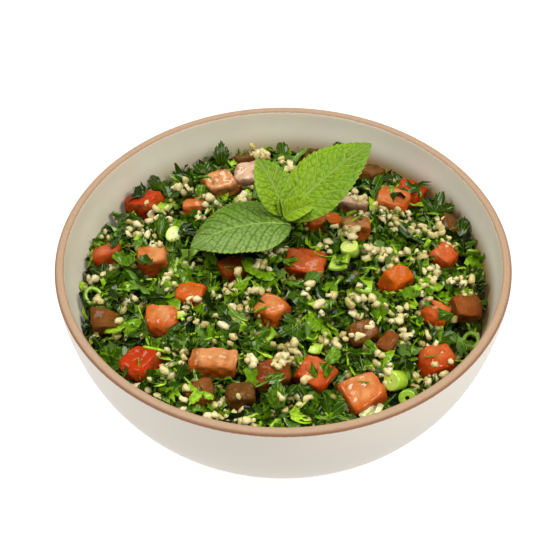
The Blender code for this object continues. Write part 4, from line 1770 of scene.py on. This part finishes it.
@dataclass
class MintSprig:
    """The sprig of mint: four toothed, quilted leaves and a bud on a short stem."""

    bowl: Bowl
    x: float = 0.5 * MM
    y: float = 14.5 * MM
    rise: float = 4 * MM
    neck: float = 0.9 * MM
    widest_at: float = 0.42
    bluntness: float = 0.68
    thickness: float = 0.45 * MM
    vein_pairs: float = 9.5
    vein_lead: float = 0.32
    cell_size: float = 3.0
    tooth_count: float = 20
    tooth_size: float = 0.85 * MM
    puff_height: float = 0.6 * MM
    rib_height: float = 0.15 * MM
    leaves: tuple[MintLeaf, ...] = (
        # the old leaf to the left
        MintLeaf((3.0, -3.4, -0.3), 46.5, 44.5, (184, 201),
                 (14, -24), 14, 4, 0.08, (0.7, 0.95), 182, 106),
        # the large leaf to the right
        MintLeaf((0.0, 0.0, 0.0), 51.5, 32.0, (33, 29),
                 (38, 18), 0, 10, 0.12, (0.15, 0.36), 192, 92),
        # the upright leaf behind
        MintLeaf((0.0, 1.0, 0.6), 29.0, 19.0, (112, 134),
                 (50, 24), 0, 14, 0.10, (0.1, 0.3), 120, 56),
        # the small folded leaf in front
        MintLeaf((0.4, -1.8, 2.0), 16.0, 12.5, (16, -2),
                 (44, 6), 22, 30, 0.0, (-0.1, 0.0), 60, 44),
        # the bud
        MintLeaf((-0.6, 0.2, 1.6), 9.0, 3.4, (128, 96),
                 (62, 78), -30, 50, 0.0, (0.3, 0.2), 30, 16),
    )

    def half_width(self, along: np.ndarray, width: float) -> np.ndarray:
        """Half the width of an ovate leaf at shares of its length."""
        swell = np.sin(math.pi * along ** (math.log(0.5) / math.log(self.widest_at)))
        blunt = self.bluntness + 0.14 * np.asarray(along) ** 3
        return np.maximum(width / 2 * np.maximum(swell, 0.0) ** blunt, self.neck * (1 - along) + 0.1 * MM)

    def spine(self, leaf: MintLeaf, base: np.ndarray) -> tuple[np.ndarray, np.ndarray]:
        """The midrib of a leaf.

        Args:
            leaf: the leaf.
            base: where it starts.

        Returns:
            Points down the midrib, and its direction at each.
        """
        along = np.linspace(0, 1, leaf.rows + 1)
        turn = np.radians(leaf.heading[0] + (leaf.heading[1] - leaf.heading[0]) * along)
        lift = np.radians(leaf.pitch[0] + (leaf.pitch[1] - leaf.pitch[0]) * along)
        way = np.stack([np.cos(turn) * np.cos(lift), np.sin(turn) * np.cos(lift), np.sin(lift)], -1)
        steps = (way[1:] + way[:-1]) * (leaf.length * MM / leaf.rows / 2)
        return base + np.vstack([np.zeros(3), np.cumsum(steps, axis=0)]), way

    def quilting(self, along: np.ndarray, across: np.ndarray, leaf: MintLeaf,
                 seed: int) -> tuple[np.ndarray, ...]:
        """How far the blade is puffed between its veins.

        Args:
            along: shares of the length.
            across: from -1 to 1 over the width.
            leaf: the leaf.
            seed: picks the unevenness.

        Returns:
            The puffs, from 0 in a vein to 1 between veins, and how much each point is a side vein and
            the midrib.
        """
        chance = np.random.default_rng(seed)
        out = np.abs(across)
        half = self.half_width(along, leaf.width * MM) / MM
        flat = np.stack([along * leaf.length, across * half, np.zeros_like(along)], -1).reshape(-1, 3)
        sway = wavy(flat, 11.0, seed).reshape(along.shape)
        pairs, lead = self.vein_pairs * (leaf.length / 50) ** 0.45, self.vein_lead
        phase = (along - lead * out + 0.08 * out * out) * pairs + 0.13 * sway + 0.5 * (across > 0)
        side = np.abs(phase - np.round(phase)) / pairs * leaf.length * 0.8
        spots = []
        cells = max(3, round(leaf.width / 2 / self.cell_size))
        for way in (-1, 1):
            for band in np.arange(-3, pairs + 1, 0.5):
                for k in range(cells):
                    reach = (k + 0.5 * (band % 1) + chance.uniform(-0.1, 0.75)) / cells
                    start = (band + 0.26 + chance.normal(0, 0.08) - 0.5 * (way > 0)) / pairs
                    share = start + lead * reach - 0.08 * reach * reach
                    if 0 < share < 1 and reach < 1.05:
                        wide = float(self.half_width(np.array(share), leaf.width * MM)) / MM
                        spots.append((share * leaf.length, way * reach * wide))
        here = flat[:, :2]
        near = np.full((len(here), 2), np.inf)
        for spot in spots:
            gap = np.hypot(*(here - spot).T)
            first = np.minimum(near[:, 0], gap)
            near[:, 1] = np.minimum(near[:, 1], np.maximum(near[:, 0], gap))
            near[:, 0] = first
        border = ((near[:, 1] - near[:, 0]) / 2).reshape(along.shape)
        broken = np.clip(0.72 + 0.28 * wavy(flat, 3.5, seed + 7).reshape(along.shape), 0, 1)
        lateral = 1 - (1 - smooth_step(0.0, 0.7, side)) * broken
        cell_depth = 0.78 if leaf.age[1] < 0.5 else 1.0
        tertiary = 1 - cell_depth * (1 - smooth_step(0.0, 0.6, border)) * broken
        puff = lateral * (0.2 + 0.8 * tertiary)
        rib = np.exp(-(out * half / 0.5) ** 2)
        vein = (1 - smooth_step(0.12, 0.42, side)) * broken
        return puff * (1 - rib), vein * (1 - rib), rib

    def build_leaf(self, leaf: MintLeaf, number: int) -> tuple[np.ndarray, np.ndarray, dict[str, np.ndarray]]:
        """Makes one leaf as a closed shell.

        Args:
            leaf: its sizes.
            number: picks its unevenness.

        Returns:
            Its points, triangles and the values that the finish reads.
        """
        join = np.array([self.x, self.y, self.bowl.height + self.rise])
        middle, way = self.spine(leaf, join + np.array(leaf.offset) * MM)
        rows, columns = leaf.rows + 1, leaf.columns + 1
        along = np.repeat(np.linspace(0, 1, rows)[:, None], columns, 1)
        across = np.repeat(np.linspace(-1, 1, columns)[None], rows, 0)
        side = np.cross([0.0, 0.0, 1.0], way)
        side /= np.linalg.norm(side, axis=1, keepdims=True)
        roll = rotations(way, np.full(rows, math.radians(leaf.roll)))
        side = np.einsum("kij,kj->ki", roll, side)
        upward = np.cross(way, side)
        reach = self.half_width(along, leaf.width * MM)
        relative = (leaf.length / 50) ** 0.5
        saw = (along * self.tooth_count * relative + 0.3 * np.sign(across)) % 1
        margin = np.abs(across) ** 5
        tooth = self.tooth_size * relative * margin * np.sin(math.pi * np.clip(along, 0.05, 1)) ** 0.5
        reach = reach + tooth * (saw ** 1.3 - 0.4)
        fold = math.radians(leaf.fold)
        bulge = np.abs(across) * math.sin(fold) - leaf.droop * across * across
        flat = np.stack([along * 3, across, 0 * along], -1).reshape(-1, 3)
        bulge = bulge + 0.05 * wavy(flat, 1.7, number).reshape(along.shape) * across * across
        puff, vein, rib = self.quilting(along, across, leaf, 50 + number)
        top = (middle[:, None] + side[:, None] * (across * reach * math.cos(fold))[..., None]
               + upward[:, None] * (bulge * reach)[..., None] + way[:, None] * (tooth * saw * 0.9)[..., None])
        normal = np.cross(np.gradient(top, axis=0), np.gradient(top, axis=1))
        normal /= np.maximum(np.linalg.norm(normal, axis=-1, keepdims=True), 1e-12)
        normal *= np.sign(np.sum(normal * upward[:, None], axis=-1, keepdims=True) + 1e-9)
        fade = np.sin(math.pi * np.clip(along, 0.02, 0.99)) ** 0.4 * (1 - 0.6 * margin)
        height = (self.puff_height * puff + self.rib_height * rib) * fade
        upper = top + normal * height[..., None]
        lower = top + normal * (height * 0.8 - self.thickness)[..., None]
        count = rows * columns
        points = np.vstack([upper.reshape(-1, 3), lower.reshape(-1, 3)])
        faces = grid_faces(rows, columns)
        grid = np.arange(count).reshape(rows, columns)
        border = [*grid[0], *grid[1:, -1], *grid[-1, -2::-1], *grid[-2:0:-1, 0]]
        rim = []
        for a, b in zip(border, border[1:] + border[:1]):
            rim += [(a, b, b + count), (a, b + count, a + count)]
        every = np.vstack([faces, faces[:, ::-1] + count, np.array(rim, np.int32)])
        # Shifts the age, and with it the lightness, from one half of the blade to the other: painted light
        # and shade.
        painted_side_light = 0.2 if leaf.age[1] > 0.9 else -0.08
        age = leaf.age[0] + (leaf.age[1] - leaf.age[0]) * along + painted_side_light * across
        edge = smooth_step(0.955, 1.0, np.abs(across)) * 0.7
        values = {"puff": puff, "vein": vein, "rib": rib * 0.8 * (1 - along * 0.5), "edge": edge, "age": age}
        return points, every, {k: np.concatenate([v.ravel(), v.ravel()]) for k, v in values.items()}

    def build_stem(self) -> tuple[np.ndarray, np.ndarray, dict[str, np.ndarray]]:
        """Makes the stub of stem under the leaves, as points, triangles and values."""
        rows, sides = 12, 10
        top, foot = 1.5, -10.5
        drop = np.linspace(top, foot, rows) * MM
        lean = np.interp(drop / MM, [foot, -5.2, top], [1.4, 0.4, 0.0]) * MM
        angle = np.arange(sides) * 2 * math.pi / sides
        size = 1.3 * MM * (1 + 0.08 * np.sin(np.linspace(0, 9, rows)))
        points = np.stack([
            self.x + lean[:, None] + size[:, None] * np.cos(angle),
            self.y - lean[:, None] / 2 + size[:, None] * np.sin(angle),
            np.repeat((self.bowl.height + self.rise + drop)[:, None], sides, 1),
        ], -1).reshape(-1, 3)
        faces = ring_faces(rows, sides, capped=True)[:, ::-1]
        zero = np.zeros(len(points))
        return points, faces, {"puff": zero + 0.6, "vein": zero, "rib": zero, "edge": zero, "age": zero + 0.3}

    def build(self, finish: bpy.types.Material) -> bpy.types.Object:
        """Makes the whole sprig as one piece.

        Args:
            finish: the mint leaf.

        Returns:
            The sprig, which stands for its CAD solid.
        """
        parts = [self.build_leaf(leaf, number) for number, leaf in enumerate(self.leaves)]
        parts.append(self.build_stem())
        start, faces = 0, []
        for points, triangles, _ in parts:
            faces.append(triangles + start)
            start += len(points)
        values = {key: np.concatenate([part[2][key] for part in parts]) for key in parts[0][2]}
        merged = np.vstack([part[0] for part in parts])
        piece = make_piece("mint_leaves", merged, np.vstack(faces), finish, values)
        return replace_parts(piece, "mint_sprig")


# ---------------------------------------------------------------- the studio


@dataclass
class Studio:
    """A pale floor, soft light from above and the camera."""

    rim_height: float
    lens: float = 73.737
    camera_place: tuple[float, float, float] = (0.0, -0.351753, 0.355344)
    forward: tuple[float, float, float] = (-0.00530164, 0.68514973, -0.72838296)
    upward: tuple[float, float, float] = (-0.000135, 0.728393, 0.685160)
    floor_reach: float = 4.0
    target: tuple[float, float, float] = (0.0, 0.0, 0.05)

    def add_camera(self) -> None:
        """Places the camera above and in front of the bowl."""
        data = bpy.data.cameras.new("camera")
        data.lens = self.lens
        data.sensor_width = 36.0
        data.clip_start, data.clip_end = 0.01, 20.0
        camera = bpy.data.objects.new("camera", data)
        bpy.context.scene.collection.objects.link(camera)
        back = -Vector(self.forward).normalized()
        up = Vector(self.upward).normalized()
        right = up.cross(back).normalized()
        turn = Matrix((right, back.cross(right), back)).transposed().to_4x4()
        x, y, z = self.camera_place
        camera.matrix_world = Matrix.Translation((x, y, self.rim_height + z)) @ turn
        bpy.context.scene.camera = camera

    def add_light(self, name: str, place: tuple[float, float, float], size: float, watts: float,
                  colour: str = "#ffffff") -> None:
        """Hangs one square soft box.

        Args:
            name: the light's name.
            place: where it hangs, in metres.
            size: its side in metres.
            watts: its power.
            colour: its hex colour.
        """
        data = bpy.data.lights.new(name, "AREA")
        data.shape = "SQUARE"
        data.size = size
        data.energy = watts
        data.color = linear(colour)[:3]
        lamp = bpy.data.objects.new(name, data)
        bpy.context.scene.collection.objects.link(lamp)
        lamp.location = place
        lamp.rotation_mode = "QUATERNION"
        lamp.rotation_quaternion = (Vector(self.target) - Vector(place)).to_track_quat("-Z", "Y")

    def add_floor(self) -> None:
        """Lays a wide white floor that glows a little, as a light table does."""
        made = bpy.data.materials.new("white_sweep")
        made.use_nodes = True
        feed(made.node_tree, made.node_tree.nodes["Principled BSDF"], {
            "Base Color": linear("#7c7c7b"), "Roughness": 0.9,
            "Emission Color": linear("#ffffff"), "Emission Strength": 0.9,
        })
        mesh = bpy.data.meshes.new("floor")
        size = self.floor_reach
        corners = [(-size, -size, 0), (size, -size, 0), (size, size, 0), (-size, size, 0)]
        mesh.from_pydata(corners, [], [(0, 1, 2, 3)])
        mesh.materials.append(made)
        floor = bpy.data.objects.new("floor", mesh)
        bpy.context.scene.collection.objects.link(floor)
        floor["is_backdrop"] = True

    def build(self) -> None:
        """Sets up the whole studio."""
        scene = bpy.context.scene
        scene.view_settings.view_transform = "Standard"
        world = bpy.data.worlds.new("studio_walls")
        world.use_nodes = True
        walls = world.node_tree.nodes["Background"]
        feed(world.node_tree, walls, {"Color": linear("#fbfaf8"), "Strength": 0.14})
        scene.world = world
        self.add_floor()
        self.add_light("key", (0.5, -0.2, 0.85), 0.34, 7.2, "#fffdf6")
        self.add_light("left", (-0.55, 0.0, 0.8), 0.34, 5.4)
        self.add_light("back", (0.0, 0.65, 0.85), 0.36, 4.4)
        self.add_light("front", (0.0, -0.5, 0.95), 0.4, 3.0)
        self.add_camera()


# ---------------------------------------------------------------- the salad


def ground_under(heap: Heap, pieces: list[bpy.types.Object]) -> BVHTree:
    """The surface that loose grains fall on.

    Args:
        heap: the heap.
        pieces: the pieces that stand out of it.

    Returns:
        A tree to cast rays on.
    """
    steps, sink = 150, 0.6 * MM
    ticks = np.linspace(-heap.reach, heap.reach, steps)
    x, y = np.meshgrid(ticks, ticks, indexing="ij")
    points = np.stack([x, y, heap.surface(x, y) - sink], -1).reshape(-1, 3)
    return ray_tree(pieces, [Vector(p) for p in points], grid_faces(steps, steps).tolist())


def main() -> None:
    """Builds the bowl, the salad in it, the sprig on top and the studio round them."""
    logging.basicConfig(level=logging.INFO, format="%(message)s")
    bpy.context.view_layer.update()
    low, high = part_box("bowl")
    bowl = Bowl(radius=(high.x - low.x) / 2, height=high.z)
    Studio(rim_height=bowl.height).build()
    bowl.build(GlazedStoneware().make())
    heap = Heap(bowl)
    heap.build_core(ShadedParsley().make())
    dice_piece = TomatoDice(heap).build(TomatoFlesh().make())
    slices = SpringOnions(heap).build(SpringOnionFlesh().make())
    cover = Cover(heap, [dice_piece, slices])
    dressed = DressedParsley().make()
    scraps = [*Parsley(heap).build(dressed, cover), WholeLeaves(heap).build(dressed)]
    bulgur, soaked = Bulgur(heap), SoakedBulgur().make()
    bulgur.build_sunk(soaked)
    bulgur.build(soaked, ground_under(heap, [dice_piece, slices, *scraps]), cover)
    MintSprig(bowl).build(MintBlade().make())
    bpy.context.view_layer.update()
    total = sum(len(p.vertices) - 2 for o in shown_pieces() for p in o.data.polygons)
    log.info("triangles in all: %d", total)


if __name__ == "__main__":
    main()
